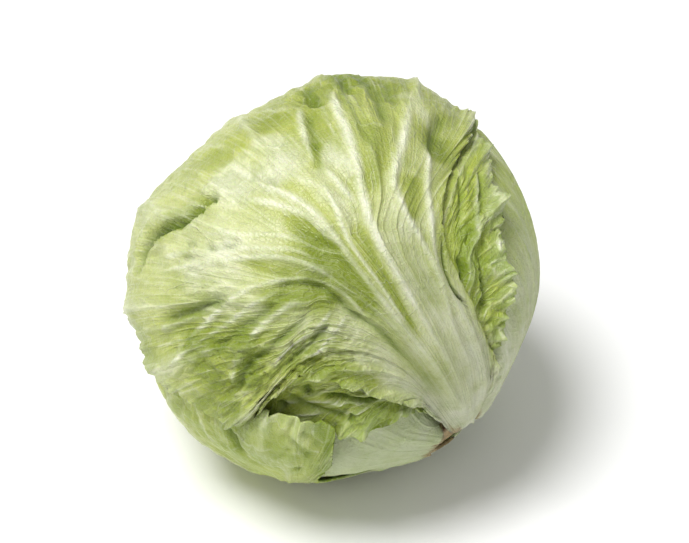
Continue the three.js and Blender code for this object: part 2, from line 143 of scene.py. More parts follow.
# The leaves, the outermost first. middle: a point inside the leaf that sees its whole edge. root: its
# polar angle and the azimuths of its two ends. ruffle and pleat: heights of the waves at its edge and
# of its ribs. rough: how crumpled it is. cut: length of its browned end. rim: breadth of its green
# margin. white: how far from its root it stays white, across its width. fringe: how ragged its edge
# is, along that edge. edge: points of that edge from the left end of the root, over the tip, to the
# right end.
LEAVES = (
    {
        "name": "leaf_1_front", "middle": (85, 10), "root": (FRONT_ROOT, 0, 84),
        "ruffle": 3.4, "ribs": 13, "cut": 5,
        "rough": 0.55, "pleat": 2.0, "white": FRONT_WHITE, "rim": 10,
        "fringe": ((0, 0.02, 0.06, 0.2, 0.3, 0.98, 1), (0, 1, 1.7, 1.7, 1, 1, 0)),
        "edge": (
            (17, -2), (30, -4), (42, -11), (53, -17), (62, -24), (66, -36), (67, -52), (76, -59),
            (88, -64), (100, -69), (112, -79), (126, -95), (143, -115), (158, -145), (166, 175),
            (158, 140), (142, 112), (124, 98), (108, 88), (98, 76), (90, 58), (84, 45), (77, 37),
            (68, 33), (58, 33), (48, 35), (38, 39), (28, 46), (18, 60),
        ),
    },
    {
        "name": "leaf_2_underside", "middle": (82, -125), "root": (LEAF_ROOT, -176, -124),
        "ruffle": 4.2, "ribs": 10, "cut": 3,
        "rough": 0.9, "pleat": 2.2, "white": ((0, 0.6, 1), (90, 60, 40)), "rim": 12,
        "fringe": ((0, 0.02, 0.7, 0.9, 0.95, 1), (0, 1, 1.2, 1.2, 0.2, 0)),
        "edge": (
            (17, -184), (30, -190), (46, -194), (65, -198), (90, -200), (114, -198), (138, -190),
            (158, -170), (167, -127), (158, -95), (140, -82), (120, -72), (100, -60), (80, -51),
            (66, -44), (56, -36), (47, -35), (43, -46), (40, -60), (41, -76), (42, -90), (41, -103),
            (36, -112), (28, -116), (18, -118),
        ),
    },
    {
        "name": "leaf_3_inner_front", "middle": (82, 12), "root": (LEAF_ROOT, 3, 50),
        "ruffle": 7.5, "ribs": 10, "cut": 3,
        "rough": 1.3, "pleat": 2.0, "white": ((0, 0.2, 0.6, 1), (16, 34, 50, 26)), "rim": 12,
        "fringe": ((0, 0.02, 0.5, 0.6, 0.98, 1), (0, 1.1, 1, 0.3, 0.5, 0)),
        "edge": (
            (18, -3), (27, -6), (34, -12), (35, -22), (38, -29), (43, -36), (48, -45), (60, -51),
            (76, -54), (102, -56), (125, -58), (148, -50), (158, 10), (146, 66), (124, 80), (104, 82),
            (93, 74), (84, 67), (76, 60), (67, 54), (58, 50), (50, 51), (42, 48), (34, 45), (22, 46),
        ),
    },
    {
        "name": "leaf_4_right", "middle": (80, 97), "root": (LEAF_ROOT, 58, 136),
        "ruffle": 3.6, "ribs": 10, "cut": 1,
        "rough": 0.4, "pleat": 1.4, "white": ((0, 1), (80, 100)), "rim": 8,
        "fringe": ((0, 0.02, 0.98, 1), (0, 1, 1, 0)),
        "edge": (
            (18, 48), (30, 37), (45, 28), (65, 26), (85, 31), (106, 45), (130, 58), (154, 66),
            (166, 97), (156, 140), (138, 160), (114, 171), (90, 172), (66, 168), (46, 160),
            (28, 150), (17, 144),
        ),
    },
    {
        "name": "leaf_5_bottom", "middle": (78, -50), "root": (LEAF_ROOT, -110, 2),
        "ruffle": 3, "ribs": 7, "cut": 3,
        "rough": 0.7, "pleat": 1.6, "white": ((0, 1), (170, 150)), "rim": 10,
        "fringe": ((0, 0.02, 0.98, 1), (0, 1, 1, 0)),
        "edge": (
            (17, -120), (28, -134), (42, -138), (64, -131), (92, -121), (120, -112), (146, -96),
            (160, -60), (150, -30), (128, -10), (100, 4), (72, 11), (48, 11), (32, 8), (18, 5),
        ),
    },
    {
        "name": "leaf_6_back", "middle": (80, 180), "root": (LEAF_ROOT, 140, 222),
        "ruffle": 3, "ribs": 7, "cut": 3,
        "rough": 0.9, "pleat": 2.2, "white": ((0, 1), (110, 110)), "rim": 12,
        "fringe": ((0, 0.02, 0.98, 1), (0, 1, 1, 0)),
        "edge": (
            (18, 131), (34, 123), (54, 117), (78, 114), (104, 116), (130, 126), (152, 148),
            (162, 180), (152, 210), (130, 232), (104, 238), (78, 238), (54, 235), (34, 230), (18, 228),
        ),
    },
)


def unit(v):
    return v / np.linalg.norm(v, axis=-1, keepdims=True)


TOWARDS = unit(VIEW_SIDE - VIEW_SIDE.dot(STEM_AXIS) * STEM_AXIS)
SIDEWAYS = np.cross(TOWARDS, STEM_AXIS)


def ease(low, high, x):
    """Runs smoothly from 0 at low to 1 at high."""
    t = np.clip((x - low) / (high - low), 0, 1)
    return t * t * (3 - 2 * t)


def direction(polar, azimuth):
    """The unit vector at a polar angle from the cut stem and an azimuth round it, in degrees."""
    p, a = np.radians(polar), np.radians(azimuth)
    ring = np.sin(p)
    return (np.cos(p)[..., None] * STEM_AXIS + (ring * np.cos(a))[..., None] * TOWARDS
            + (ring * np.sin(a))[..., None] * SIDEWAYS)


def angle_to(d, other):
    return np.degrees(np.arccos(np.clip((d * other).sum(-1), -1, 1)))


def bell(d, polar, azimuth, breadth):
    """1 at a place on the head, falling off round it."""
    return np.exp(-(angle_to(d, direction(polar, azimuth)) / breadth) ** 2)


def round_radius(d):
    """The head's radius without its leaves' relief and without the flat spot under it."""
    return HEAD_RADIUS * (1 + sum(share * bell(d, p, a, w) for p, a, w, share in SWELLS))


def floor_reach(d):
    """The distance from the head's centre to the floor."""
    down = np.minimum(d[..., 2], -1e-6)
    return np.where(d[..., 2] < -0.01, CENTRE_HEIGHT / -down, 1e9)


def off_flat_spot(d):
    """1 where the head is well clear of the floor, 0 where it rests on it."""
    return ease(0, 0.04 * HEAD_RADIUS, floor_reach(d) - round_radius(d))


def sheet_thickness(d):
    """The room that a leaf takes in the pile: more near the core."""
    return BLADE + ROOT_SWELL * np.exp(-angle_to(d, STEM_AXIS) / ROOT_FADE)


class Outline:
    """A leaf's edge, as the angle from its middle in each direction round it."""

    def __init__(self, leaf):
        self.middle = direction(*leaf["middle"])
        self.to_stem = unit(STEM_AXIS - STEM_AXIS.dot(self.middle) * self.middle)
        self.across = np.cross(self.to_stem, self.middle)
        polar, start, end = leaf["root"]
        roots = [(polar, start + (end - start) * part) for part in (0, 0.25, 0.5, 0.75, 1)]
        points = direction(*np.array(roots + list(leaf["edge"]), float).T)
        knots = sorted(zip(self.turn_of(points), angle_to(points, self.middle)))
        turns, reaches = np.array(knots).T
        self.turns = np.concatenate((turns[-2:] - 360, turns, turns[:3] + 360))
        self.reaches = np.concatenate((reaches[-2:], reaches, reaches[:3]))
        edge = direction(*np.array((leaf["edge"][0], leaf["edge"][-1]), float).T)
        self.turn_start, self.turn_end = self.turn_of(edge)
        ends = direction(polar + np.zeros(2), np.array((start, end), float))
        self.root_turns = self.turn_of(ends) - (0, 360)

    def turn_of(self, d):
        return np.degrees(np.arctan2(d @ self.across, d @ self.to_stem)) % 360

    def reach(self, turn):
        turn = turn % 360
        right = np.clip(np.searchsorted(self.turns, turn, side="right"), 2, len(self.turns) - 2)
        x, y = [[a[right + step] for step in (-2, -1, 0, 1)] for a in (self.turns, self.reaches)]
        width = np.maximum(x[2] - x[1], 1e-6)
        t = (turn - x[1]) / width
        left_slope = (y[2] - y[0]) / np.maximum(x[2] - x[0], 1e-6) * width
        right_slope = (y[3] - y[1]) / np.maximum(x[3] - x[1], 1e-6) * width
        return ((2 * t**3 - 3 * t**2 + 1) * y[1] + (t**3 - 2 * t**2 + t) * left_slope
                + (3 * t**2 - 2 * t**3) * y[2] + (t**3 - t**2) * right_slope)

    def calm_reach(self, turn):
        return sum(self.reach(turn + step) for step in (-45, -30, -15, 0, 15, 30, 45)) / 7

    def place(self, turn, share):
        reach = np.radians(share * (self.calm_reach(turn) * (1 - share) + self.reach(turn) * share))
        t = np.radians(turn)
        return (np.cos(reach)[..., None] * self.middle
                + (np.sin(reach) * np.cos(t))[..., None] * self.to_stem
                + (np.sin(reach) * np.sin(t))[..., None] * self.across)

    def past_edge(self, d):
        return angle_to(d, self.middle) - self.reach(self.turn_of(d))


OUTLINES = [Outline(leaf) for leaf in LEAVES]


class Fan:
    """Maps a leaf's veins (part, from 0 to 1 across them; way, from root to edge) to directions."""

    def __init__(self, layer):
        self.outline = OUTLINES[layer]
        self.turns = np.linspace(self.outline.turn_start, self.outline.turn_end, EDGE_STEPS + 1)
        edge = self.outline.place(self.turns, np.ones(EDGE_STEPS + 1))
        steps = np.linalg.norm(np.diff(edge, axis=0), axis=1) * HEAD_RADIUS
        self.along = np.concatenate(((0,), np.cumsum(steps)))
        self.length = self.along[-1]

    def place(self, part, way, beyond=0.0):
        """beyond: how far in mm the place is pushed out past its own, away from the leaf's middle."""
        tip_turn = np.radians(np.interp(part * self.length, self.along, self.turns))
        first, last = self.outline.root_turns
        root_turn = np.radians(first + (last - first) * part)
        root = np.exp(1j * root_turn)
        tip = np.exp(1j * tip_turn)
        bend = (root + tip) / 2 * (1 - VEIN_BEND * abs(root - tip) / 2)
        on = root * (1 - way) ** 2 + 2 * way * (1 - way) * bend + tip * way**2
        turn = np.degrees(np.angle(on)) % 360
        reach = np.radians(self.outline.reach(turn)) * HEAD_RADIUS
        return self.outline.place(turn, abs(on) * (1 + beyond / reach))


def keel_valley(d):
    """How deep the whole head lies along the low side of the front leaf's midrib."""
    gap, at = to_curve(d, KEEL)
    beside = ease(-0.5, 6, gap) * np.exp(-((np.maximum(gap - 6, 0) / 15) ** 2))
    return KEEL_DEPTH * beside * ease(0, 0.1, at) * ease(0.95, 0.6, at)


def smooth_layer(d, layer):
    """The reach of a leaf's face without its relief: it sinks under each leaf that passes over it."""
    pitch = sheet_thickness(d) + LAYER_GAP
    from_root = ease(LEAF_ROOT, DRAPE_FULL, angle_to(d, STEM_AXIS))
    drape = ROOT_DRAPE + (DRAPE - ROOT_DRAPE) * from_root
    pile = sum(1 - ease(0, drape, outline.past_edge(d)) for outline in OUTLINES[:layer])
    hollow = sum(depth * bell(d, p, a, w) for p, a, w, depth, first in HOLLOWS if layer >= first)
    dents = sum(depth * bell(d, p, a, w) for p, a, w, depth in DENTS)
    return np.minimum(round_radius(d), floor_reach(d)) - pitch * pile - hollow - dents - keel_valley(d)


def freedom(d, layer):
    """1 where nothing covers a leaf, 0 where another leaf or the floor presses on it."""
    share = off_flat_spot(d)
    for outline in OUTLINES[:layer]:
        share = share * ease(0, UNCOVER, outline.past_edge(d))
    return share


def perlin(points, seed):
    """Smooth noise from -1 to 1 with cells of size 1; the last axis of points is x, y, z."""
    rng = np.random.default_rng(seed)
    table = rng.permutation(256)
    table = np.concatenate((table, table, table))
    gradients = unit(rng.normal(size=(256, 3)))
    cell = np.floor(points).astype(int)
    local = points - cell
    cell &= 255
    fade = local**3 * (local * (local * 6 - 15) + 10)
    total = 0
    for corner in range(8):
        step = np.array((corner & 1, corner >> 1 & 1, corner >> 2))
        i, j, k = np.moveaxis((cell + step) & 255, -1, 0)
        slope = gradients[table[table[table[i] + j] + k]]
        weight = np.prod(np.where(step, fade, 1 - fade), axis=-1)
        total = total + weight * (slope * (local - step)).sum(-1)
    return np.clip(1.6 * total, -1, 1)


def curve_points(knots, count=90):
    """Points on a smooth curve through polar and azimuth pairs, as directions."""
    p = direction(*np.array(knots, float).T)
    p = np.concatenate(([2 * p[0] - p[1]], p, [2 * p[-1] - p[-2]]))
    t = np.linspace(0, len(knots) - 1 - 1e-6, count)
    i = t.astype(int)
    f = (t - i)[:, None]
    a, b, c, e = p[i], p[i + 1], p[i + 2], p[i + 3]
    return unit(0.5 * (2 * b + (c - a) * f + (2 * a - 5 * b + 4 * c - e) * f**2
                       + (3 * b - a - 3 * c + e) * f**3))


def to_curve(d, knots):
    """Distance in mm from directions to a curve, positive on its left, and how far along it they are."""
    line = curve_points(knots)
    shape = d.shape[:-1]
    d = d.reshape(-1, 3)
    near = (d @ line.T).argmax(1)
    near = np.clip(near, 1, len(line) - 2)
    best = np.full(len(d), 1e9)
    side = np.zeros(len(d))
    place = np.zeros(len(d))
    for shift in (-1, 0):
        a, b = line[near + shift], line[near + shift + 1]
        chord = b - a
        f = np.clip(((d - a) * chord).sum(-1) / (chord * chord).sum(-1), 0, 1)
        away = d - a - f[:, None] * chord
        gap = np.linalg.norm(away, axis=-1)
        closer = gap < best
        best = np.where(closer, gap, best)
        side = np.where(closer, np.sign((np.cross(d, chord) * away).sum(-1)), side)
        place = np.where(closer, (near + shift + f) / (len(line) - 1), place)
    return (best * side * HEAD_RADIUS).reshape(shape), place.reshape(shape)


# Strong ribs and folds of the front leaf: points on the curve as polar and azimuth, height in mm,
# and half width in mm at the start and at the end.
FRONT_RIBS = (
    (((11, 34), (20, 20), (29, 13), (42, 11), (52, 9), (60, 8), (78, 7), (93, 7), (104, 4), (116, -4),
      (125, -18)), 1.6, 2.6, 1.4),
    (((52, 11), (59, 9.5), (71, 9.5), (83, 9.5), (93, 12), (104, 14)), 0.8, 1.0, 1.2),
    (((14, 45), (30, 20), (46, 16), (65, 15), (84, 17), (103, 26), (119, 35), (133, 48)), 1.5, 2.6, 1.9),
    (((18, 48), (32, 29), (47, 24), (64, 26), (87, 28), (97, 38), (119, 77)), 1.4, 2.6, 1.9),
    (((20, 52), (39, 33), (51, 29), (64, 27), (74, 31), (84, 37), (91, 44), (103, 58)), 1.3, 2.4, 1.5),
    (((24, 14), (44, 8), (62, 5), (82, -1), (92, -8), (106, -28), (117, -50)), 1.1, 2.0, 1.3),
    (((30, 6), (53, 3), (62, 1), (74, 0), (82, -5), (87, -12), (91, -21), (93, -40), (93, -61)),
     1.3, 2.0, 1.3),
    (((76, 8), (88, 6), (95, 5), (104, 0), (111, -6), (115, -14)), 0.9, 2.0, 1.2),
    (((80, 0), (89, -2), (99, -13), (110, -28), (118, -43)), 1.1, 1.5, 1.3),
    (((85, 3), (95, -3), (103, -12), (113, -24)), 0.8, 1.4, 1.2),
    (((82, -5), (83, -7), (86, -18), (88, -31), (91, -47), (93, -63)), 1.1, 1.4, 0.9),
    (((77, -3), (80, -13), (81, -22), (80, -30), (76, -36), (70, -42)), 1.2, 1.8, 1.4),
    (((101, -53), (99, -45), (96, -38)), 1.6, 1.2, 1.2),
    (((73, -2), (71, -11), (72, -23), (70, -31)), 0.6, 1.2, 1.0),
    (((69, -1), (67, -9), (66, -20)), 0.5, 1.2, 0.8),
    (((84, 17), (98, 17), (108, 17), (118, 21), (130, 30)), 1.0, 2.0, 1.6),
    (((84, -24), (79, -36), (75, -43)), 1.0, 1.6, 1.6),
)

# The same for the leaf at the lower left and the one that shows in the hollow.
UNDER_RIBS = (
    (((76, -66), (66, -62), (56, -56), (47, -51), (43, -49)), 0.4, 0.7, 0.5),
    (((72, -72), (62, -70), (52, -67), (43, -62)), 0.3, 0.6, 0.4),
)
INNER_RIBS = (
    (((26, 4), (34, -4), (42, -15), (50, -26), (58, -36), (64, -42)), 0.6, 1.1, 0.6),
    (((34, -4), (43, -8), (52, -14), (60, -20), (68, -26)), 0.5, 0.9, 0.5),
    (((42, -15), (51, -18), (59, -24), (66, -30)), 0.5, 0.7, 0.4),
    (((42, -15), (46, -27), (52, -36), (58, -43)), 0.5, 0.7, 0.4),
    (((30, 22), (44, 30), (58, 38), (72, 48), (86, 62)), 0.6, 1.2, 0.8),
    (((44, 30), (56, 44), (66, 52)), 0.5, 0.9, 0.5),
)
RIBS = (FRONT_RIBS, UNDER_RIBS, INNER_RIBS, (), (), ())

# The long open fold on the front leaf's left shoulder.
SLIT = (
    (117, -11), (117, -14), (117, -20), (118, -25), (121, -33), (124, -41), (124, -48), (122, -53),
    (119, -58),
)

# Furrows of the front leaf: points on the curve, depth in mm and half width in mm.
FRONT_FURROWS = (
    (((41, 6), (51, 3), (59, 2), (67, -1), (79, -4), (84, -9), (86, -16)), 1.6, 1.2),
    (((92, -23), (96, -32), (99, -42), (101, -50)), 1.2, 1.6),
    (((83, -9), (83, -20), (84, -30), (85, -42)), 1.4, 1.7),
    (((75, -9), (75, -22), (76, -34), (73, -46)), 1.8, 1.5),
    (((70, -6), (69, -16), (69, -30)), 1.3, 1.4),
    (((104, 40), (114, 48), (122, 60)), 1.8, 2.2),
    (((100, 30), (113, 36), (127, 46)), 1.4, 1.8),
    (((100, 14), (112, 20), (126, 30)), 1.2, 2.0),
    (((92, 45), (98, 54), (103, 66)), 1.6, 2.4),
    (((72, 34), (66, 30.5), (61, 29), (56, 29.5), (51, 33)), 2.8, 0.55),
    (((108, -24), (104, -19), (101, -13)), 0.9, 1.0),
    (((111, -32), (108, -27)), 0.9, 1.2),
    (((113, -29), (111, -25)), 1.4, 1.1),
    (((107, -23), (105, -20)), 1.4, 1.1),
    (((104, -18), (102, -16)), 1.4, 1.1),
    (((102, -14), (101, -12)), 1.2, 1.0),
    (((115, -1), (113, 1)), 0.9, 1.1),
    (((111, 2), (108, 5)), 0.9, 1.1),
    (((140, 46), (131, 38), (124, 33)), 1.6, 2.6),
    (((142, 66), (133, 58), (124, 46)), 1.5, 2.2),
    (((139, 72), (132, 67), (121, 54), (115, 48)), 1.5, 2.2),
    (((126, 66), (121, 63), (112, 51)), 1.3, 2.2),
    (((103, -53), (99, -41), (96, -33), (91, -24)), 1.8, 1.6),
)

# The same for the leaf that shows in the hollow and on the right, under the front leaf.
INNER_FURROWS = (
    (((57, -30), (52, -25), (49, -22), (45, -18), (42, -12)), 2.6, 0.9),
    (((55, -22), (50, -17), (46, -12)), 1.6, 1.2),
    (((46, -26), (44, -29)), 2.4, 1.3),
    (((61, -29), (58, -31)), 2.4, 1.5),
    (((63, -41), (60, -41)), 2.4, 1.5),
    (((66, -36), (58, -36), (50, -33), (44, -28)), 1.4, 1.6),
    (((52, 32), (56, 32), (60, 36), (65, 36)), 2.2, 1.0),
    (((72, 42), (78, 47), (85, 51)), 1.2, 1.2),
    (((70, 49), (76, 54), (84, 61)), 1.0, 1.2),
    (((47, 40), (52, 42), (58, 41)), 1.8, 1.0),
)
# And for the leaf whose margin curls up at the lower left.
UNDER_FURROWS = (
    (((72, -62), (67, -66), (63, -71)), 2.6, 1.4),
    (((50, -64), (47, -68)), 1.8, 1.2),
    (((58, -46), (52, -49), (46, -56)), 1.2, 2.0),
    (((56, -40), (50, -42), (46, -48)), 1.0, 1.4),
)
FURROWS = (FRONT_FURROWS, UNDER_FURROWS, INNER_FURROWS, (), (), ())

# Where a leaf is greener (above 0) or whiter (below 0): points on the curve, half width in mm at the start
# and at the end, and how much. Some of this is the leaf's own colour, but the greener bands beside the
# midrib, along the furrows and the open fold and in the gaps under an upper leaf's edge are painted shade,
# and the whiter patches on the upper left are partly painted highlight.
FRONT_TINTS_AND_SHADE = (
    (((20, 14), (34, 7), (48, 4), (65, 4), (80, 4), (93, 2), (100, -2)), 4.5, 6.0, 0.6),
    (((50, 16), (36, 16), (20, 28)), 8.0, 11.0, 0.3),
    (((140, 46), (131, 38), (124, 33)), 3.5, 3.5, 0.9),
    (((142, 66), (133, 58), (124, 46)), 3.0, 3.0, 0.8),
    (((139, 72), (132, 67), (121, 54)), 3.0, 3.0, 0.9),
    (((99, 56), (96, 52), (94, 48)), 5.0, 4.0, 0.6),
    (((86, -26), (80, -32), (74, -36), (70, -40)), 3.5, 4.5, 0.9),
    (((96, -48), (88, -40), (84, -33)), 4.0, 4.0, 0.7),
    (((112, 20), (104, 22), (96, 22)), 5.0, 3.0, -0.7),
    (((120, 52), (112, 60), (104, 52)), 5.0, 4.0, -0.6),
    (((126, 4), (122, 12), (116, 12)), 5.0, 4.0, -0.6),
    (((48, 11), (60, 11), (75, 12), (88, 14)), 1.4, 2.4, 0.5),
    (((55, 20), (70, 20), (84, 23)), 2.0, 3.0, 0.2),
    (((118, -2), (122, 6), (128, 16), (133, 22)), 7.0, 9.0, 0.55),
    (((104, 14), (108, 17), (113, 21)), 2.4, 2.4, 0.8),
    (((89, 21), (98, 30), (110, 40)), 3.0, 5.0, 0.55),
    (((77, 25), (84, 31), (90, 36)), 2.6, 4.0, 0.7),
    (((89, 47), (93, 53), (98, 57)), 4.0, 6.0, 0.7),
    (((125, 44), (131, 52), (136, 58)), 3.5, 5.0, 0.8),
    (((113, 50), (118, 62), (122, 76)), 5.0, 6.0, 0.5),
    (((116, -10), (119, -18), (122, -27), (124, -36), (123, -44)), 4.0, 3.0, 0.9),
    (((93, -50), (84, -46), (76, -48)), 6.0, 8.0, 0.5),
    (((84, -60), (76, -54), (70, -46)), 5.0, 6.0, 0.6),
    (((116, -70), (106, -66), (94, -62)), 7.0, 7.0, 0.35),
    (((80, -24), (76, -34), (72, -42)), 4.0, 5.0, 0.4),
    (((71, -30), (64, -22), (56, -14), (46, -8)), 5.0, 3.0, 0.5),
    (((82, -26), (78, -32), (72, -40)), 2.0, 2.5, 0.8),
    (((90, 1), (98, -8), (104, -22), (106, -38)), 6.0, 6.0, -0.55),
    (((93, -12), (95, -24), (95, -42)), 4.0, 4.0, -0.2),
    (((84, 12), (93, 14), (100, 10)), 4.0, 3.0, -0.5),
    (((60, 5), (74, 2), (84, -3), (92, -9), (98, -20)), 6.0, 7.0, 0.5),
    (((50, 22), (62, 25), (76, 29)), 6.0, 8.0, 0.3),
    (((71, -2), (76, -6), (82, -12), (86, -20)), 5.0, 6.0, 0.55),
    (((70, 8), (82, 5), (94, -4), (104, -18)), 5.0, 7.0, 0.25),
    (((104, 6), (112, 4), (119, 0), (128, -2)), 9.0, 11.0, -0.7),
    (((94, 17), (104, 16), (116, 10), (128, 8)), 7.0, 9.0, -0.5),
    (((108, -3), (117, -7), (126, -14)), 7.0, 8.0, -0.5),
    (((72, 24), (84, 26), (96, 30)), 4.0, 5.0, -0.3),
    (((65, -8), (70, -12), (76, -15)), 3.0, 3.0, -0.4),
)

# The inner front leaf's tints: most of the greener bands are painted shade in the hollow and in the gap
# under the front leaf's edge
INNER_TINTS_AND_SHADE = (
    (((54, 36), (60, 38), (66, 41), (73, 43)), 6.0, 5.0, 1.0),
    (((52, 50), (56, 50), (62, 47)), 4.0, 4.0, 0.8),
    (((47, 37), (56, 38), (64, 43)), 4.0, 5.0, 0.7),
    (((95, 58), (103, 66), (112, 72)), 4.0, 4.0, 0.6),
    (((40, -31), (40, -24), (41, -16), (37, -9)), 3.5, 2.5, 0.6),
    (((62, 48), (70, 53), (80, 62), (92, 73)), 3.0, 3.0, -0.4),
)
UNDER_TINTS = (
    (((58, -37), (50, -36), (43, -46), (40, -60), (41, -74)), 4.0, 4.0, 0.9),
    (((74, -70), (62, -66), (52, -58), (46, -52)), 14.0, 12.0, 0.55),
)
TINTS_AND_SHADE = (FRONT_TINTS_AND_SHADE, UNDER_TINTS, INNER_TINTS_AND_SHADE, (), (), ())

# Where a leaf lies smooth: the leaf, polar angle, azimuth, breadth in degrees, how much.
CALM = (
    (0, 66, 30, 12, 0.75), (0, 88, 44, 11, 0.75), (0, 100, 58, 9, 0.7), (0, 46, 30, 14, 0.6),
    (1, 32, -100, 24, 0.95), (1, 14, -130, 14, 0.9), (4, 32, -50, 22, 0.7),
    (2, 104, 74, 16, 0.7), (2, 84, 62, 10, 0.4),
)

# A single curl that stands up from a leaf: the leaf, polar angle, azimuth, breadth in degrees and
# height in mm.
CURLS = ((2, 98, 79, 2.6, 6.0),)

# Where the front leaf is blistered: polar angle, azimuth, breadth in degrees, height in mm.
FRONT_BLISTERS = (
    (74, -32, 16, 1.0), (64, -12, 10, 0.7), (122, -10, 16, 0.5), (128, 45, 14, 0.7), (96, -35, 14, 0.4),
)

# Where the front leaf is rougher (above 0) or smoother: polar angle, azimuth, breadth in degrees
# and how much.
FRONT_ROUGHNESS = (
    (78, -38, 17, 1.0), (66, -18, 9, 0.7), (98, -12, 24, -0.35), (84, 36, 16, -0.35), (128, 36, 18, 0.25),
    (60, 20, 22, -0.4),
)


def strokes(d, table):
    """Yields each entry's share (1 on its curve and 0 away from it) with the entry's last value."""
    for knots, start, end, amount in table:
        gap, at = to_curve(d, knots)
        width = start + (end - start) * at
        yield np.exp(-np.abs(gap / width) ** 1.7) * ease(0, 0.25, at) * ease(1, 0.85, at), amount


class LeafShape:
    """The outer face of one leaf on a grid of veins and rows, and what colours it."""

    def __init__(self, layer, columns, rows, ruffle_share=1.0):
        self.layer = layer
        self.leaf = LEAVES[layer]
        self.fan = Fan(layer)
        self.lay_grid(columns, rows)
        self.free = freedom(self.d, layer)
        calm = sum(much * bell(self.d, p, a, w) for of, p, a, w, much in CALM if of == layer)
        self.calm = np.clip(1 - calm, 0, 1)
        pleat, rise = self.fan_relief()
        detail = self.crumples()
        ruffle, sway = self.ruffles(self.leaf["ruffle"] * ruffle_share)
        relief = self.free * (pleat + ruffle + detail) + (0.25 + 0.75 * self.free) * rise
        self.height = self.calm * relief
        self.draw_lines()
        self.build_face(self.calm * sway)
        self.colour_layers()

    def lay_grid(self, columns, rows):
        """Sets out the grid: part across the veins, way along them, and its points' directions."""
        part = np.linspace(0, 1, columns + 1)
        way = 1 - (1 - np.linspace(0, 1, rows + 1)) ** ROW_CROWDING
        self.part, self.way = np.meshgrid(part, way, indexing="ij")
        self.along = self.part * self.fan.length
        root, tip = self.fan.place(part, 0 * part), self.fan.place(part, 0 * part + 1)
        vein = np.radians(angle_to(root, tip))[:, None] * HEAD_RADIUS
        self.inward = (1 - self.way) * vein
        self.from_root = self.way * vein
        self.near_edge = np.exp(-self.inward / FRINGE_DEPTH)
        scallop = self.fringe(self.along) * np.interp(self.part, *self.leaf["fringe"])
        self.d = self.fan.place(self.part, self.way, scallop * self.near_edge)
        face = np.cross(np.gradient(self.d, axis=0), unit(np.gradient(self.d, axis=1)))
        self.breadth = np.linalg.norm(face, axis=-1) * HEAD_RADIUS * columns
        self.spacing = self.breadth / self.leaf["ribs"]
        self.flat = np.stack((self.along / 15, self.from_root / 30, 0 * self.along + self.layer * 7.3), -1)
        self.drift = perlin(self.flat, 11 + self.layer)

    def fan_relief(self):
        """The height of the pleats between the fan's ribs, and of the ribs themselves."""
        ribs = self.fan_ribs(self.leaf["ribs"], self.drift)
        fine = self.fan_ribs(self.leaf["ribs"] * 3, 2.2 * self.drift)
        pleat = np.minimum(self.leaf["pleat"], 0.1 * self.spacing) * ease(0.2, 0.7, self.way) * ribs
        rise = np.minimum(RIB_RISE, 0.14 * self.spacing) * (1 - self.way) * ribs
        rise = rise + np.minimum(FINE_RIB_RISE, 0.05 * self.spacing) * fine
        rib_white = 0.8 * ribs**4 * (1 - 0.35 * self.way)
        self.rib_white = np.maximum(rib_white, 0.55 * fine**5)
        return pleat, rise

    def crumples(self):
        """The height of the blade's billows, blisters and pimples."""
        rough = self.leaf["rough"] + 0 * self.along
        self.blisters = 0 * self.along
        if self.layer == 0:
            rough = rough + sum(much * bell(self.d, p, a, w) for p, a, w, much in FRONT_ROUGHNESS)
            self.blisters = sum(high * bell(self.d, p, a, w) for p, a, w, high in FRONT_BLISTERS)
        from_edge = 0.55 + 0.45 * ease(70, 10, self.inward)
        self.crumple = ease(0.1, 0.5, self.way) * from_edge * rough
        warp = np.stack((self.along / 12, self.from_root / 20, 0 * self.along + 3.1 * self.layer), -1)
        warp = warp + 0.7 * self.drift[..., None]
        billow = np.abs(perlin(warp, 5 + self.layer)) ** 0.75
        small = np.abs(perlin(warp * (2.3, 2.6, 1) + 4.0, 6 + self.layer)) ** 0.8
        place = self.d * HEAD_RADIUS
        blister = np.abs(perlin(place / BLISTER_SIZE + 9 * self.layer, 3))
        swell = perlin(place / SWELL_SIZE + 5 * self.layer, 8)
        pimple = np.abs(perlin(place / PIMPLE_SIZE + 2 * self.layer, 17))
        squeeze = np.clip(self.breadth / self.fan.length, 0, 1)
        folds = squeeze * (2.9 * billow + 1.2 * small - 1.3)
        detail = self.crumple * (folds + 0.8 * blister - 0.3 + 0.9 * swell)
        return detail + self.blisters * ease(0.15, 0.5, self.way) * (1.6 * pimple + 1.2 * blister - 0.8)

    def ruffles(self, tall):
        """The height of the waves of the margin, and how far they sway along the edge."""
        band = np.clip(1 - self.inward / RUFFLE_WIDTH, 0, 1) ** 1.3 * ease(*RUFFLE_STARTS, self.from_root)
        swing = self.along + 6 * self.drift
        phase = swing / RUFFLE_PITCH + 1.3 * np.sin(swing / SWAY_PITCH + self.layer)
        curl = swing / CURL_PITCH + 1.8 * np.sin(swing / CURL_SWAY_PITCH)
        frill = swing / FRILL_PITCH + 2 * perlin(self.flat * 5, 40 + self.layer)
        wave = 0.6 * (0.5 + 0.5 * np.sin(phase)) + 0.3 * band * (0.5 + 0.5 * np.sin(curl))
        height = tall * band * (wave + 0.2 * self.near_edge * (0.5 + 0.5 * np.sin(frill)))
        sway = min(MOST_SWAY, tall) * (0.28 * np.cos(phase) + 0.14 * band * np.cos(curl))
        return height, self.free * band * sway

    def draw_lines(self):
        """Adds the leaf's own ribs, furrows and tints, and the front leaf's open fold, with painted shade
        inside the fold and the furrows.
        """
        self.green, self.shade = 0 * self.along, 0 * self.along
        ribs = [(knots, start, end, high) for knots, high, start, end in RIBS[self.layer]]
        for ridge, high in strokes(self.d, ribs):
            self.height = self.height + high * ridge
            self.rib_white = np.maximum(self.rib_white, ridge)
        if self.layer == 0:
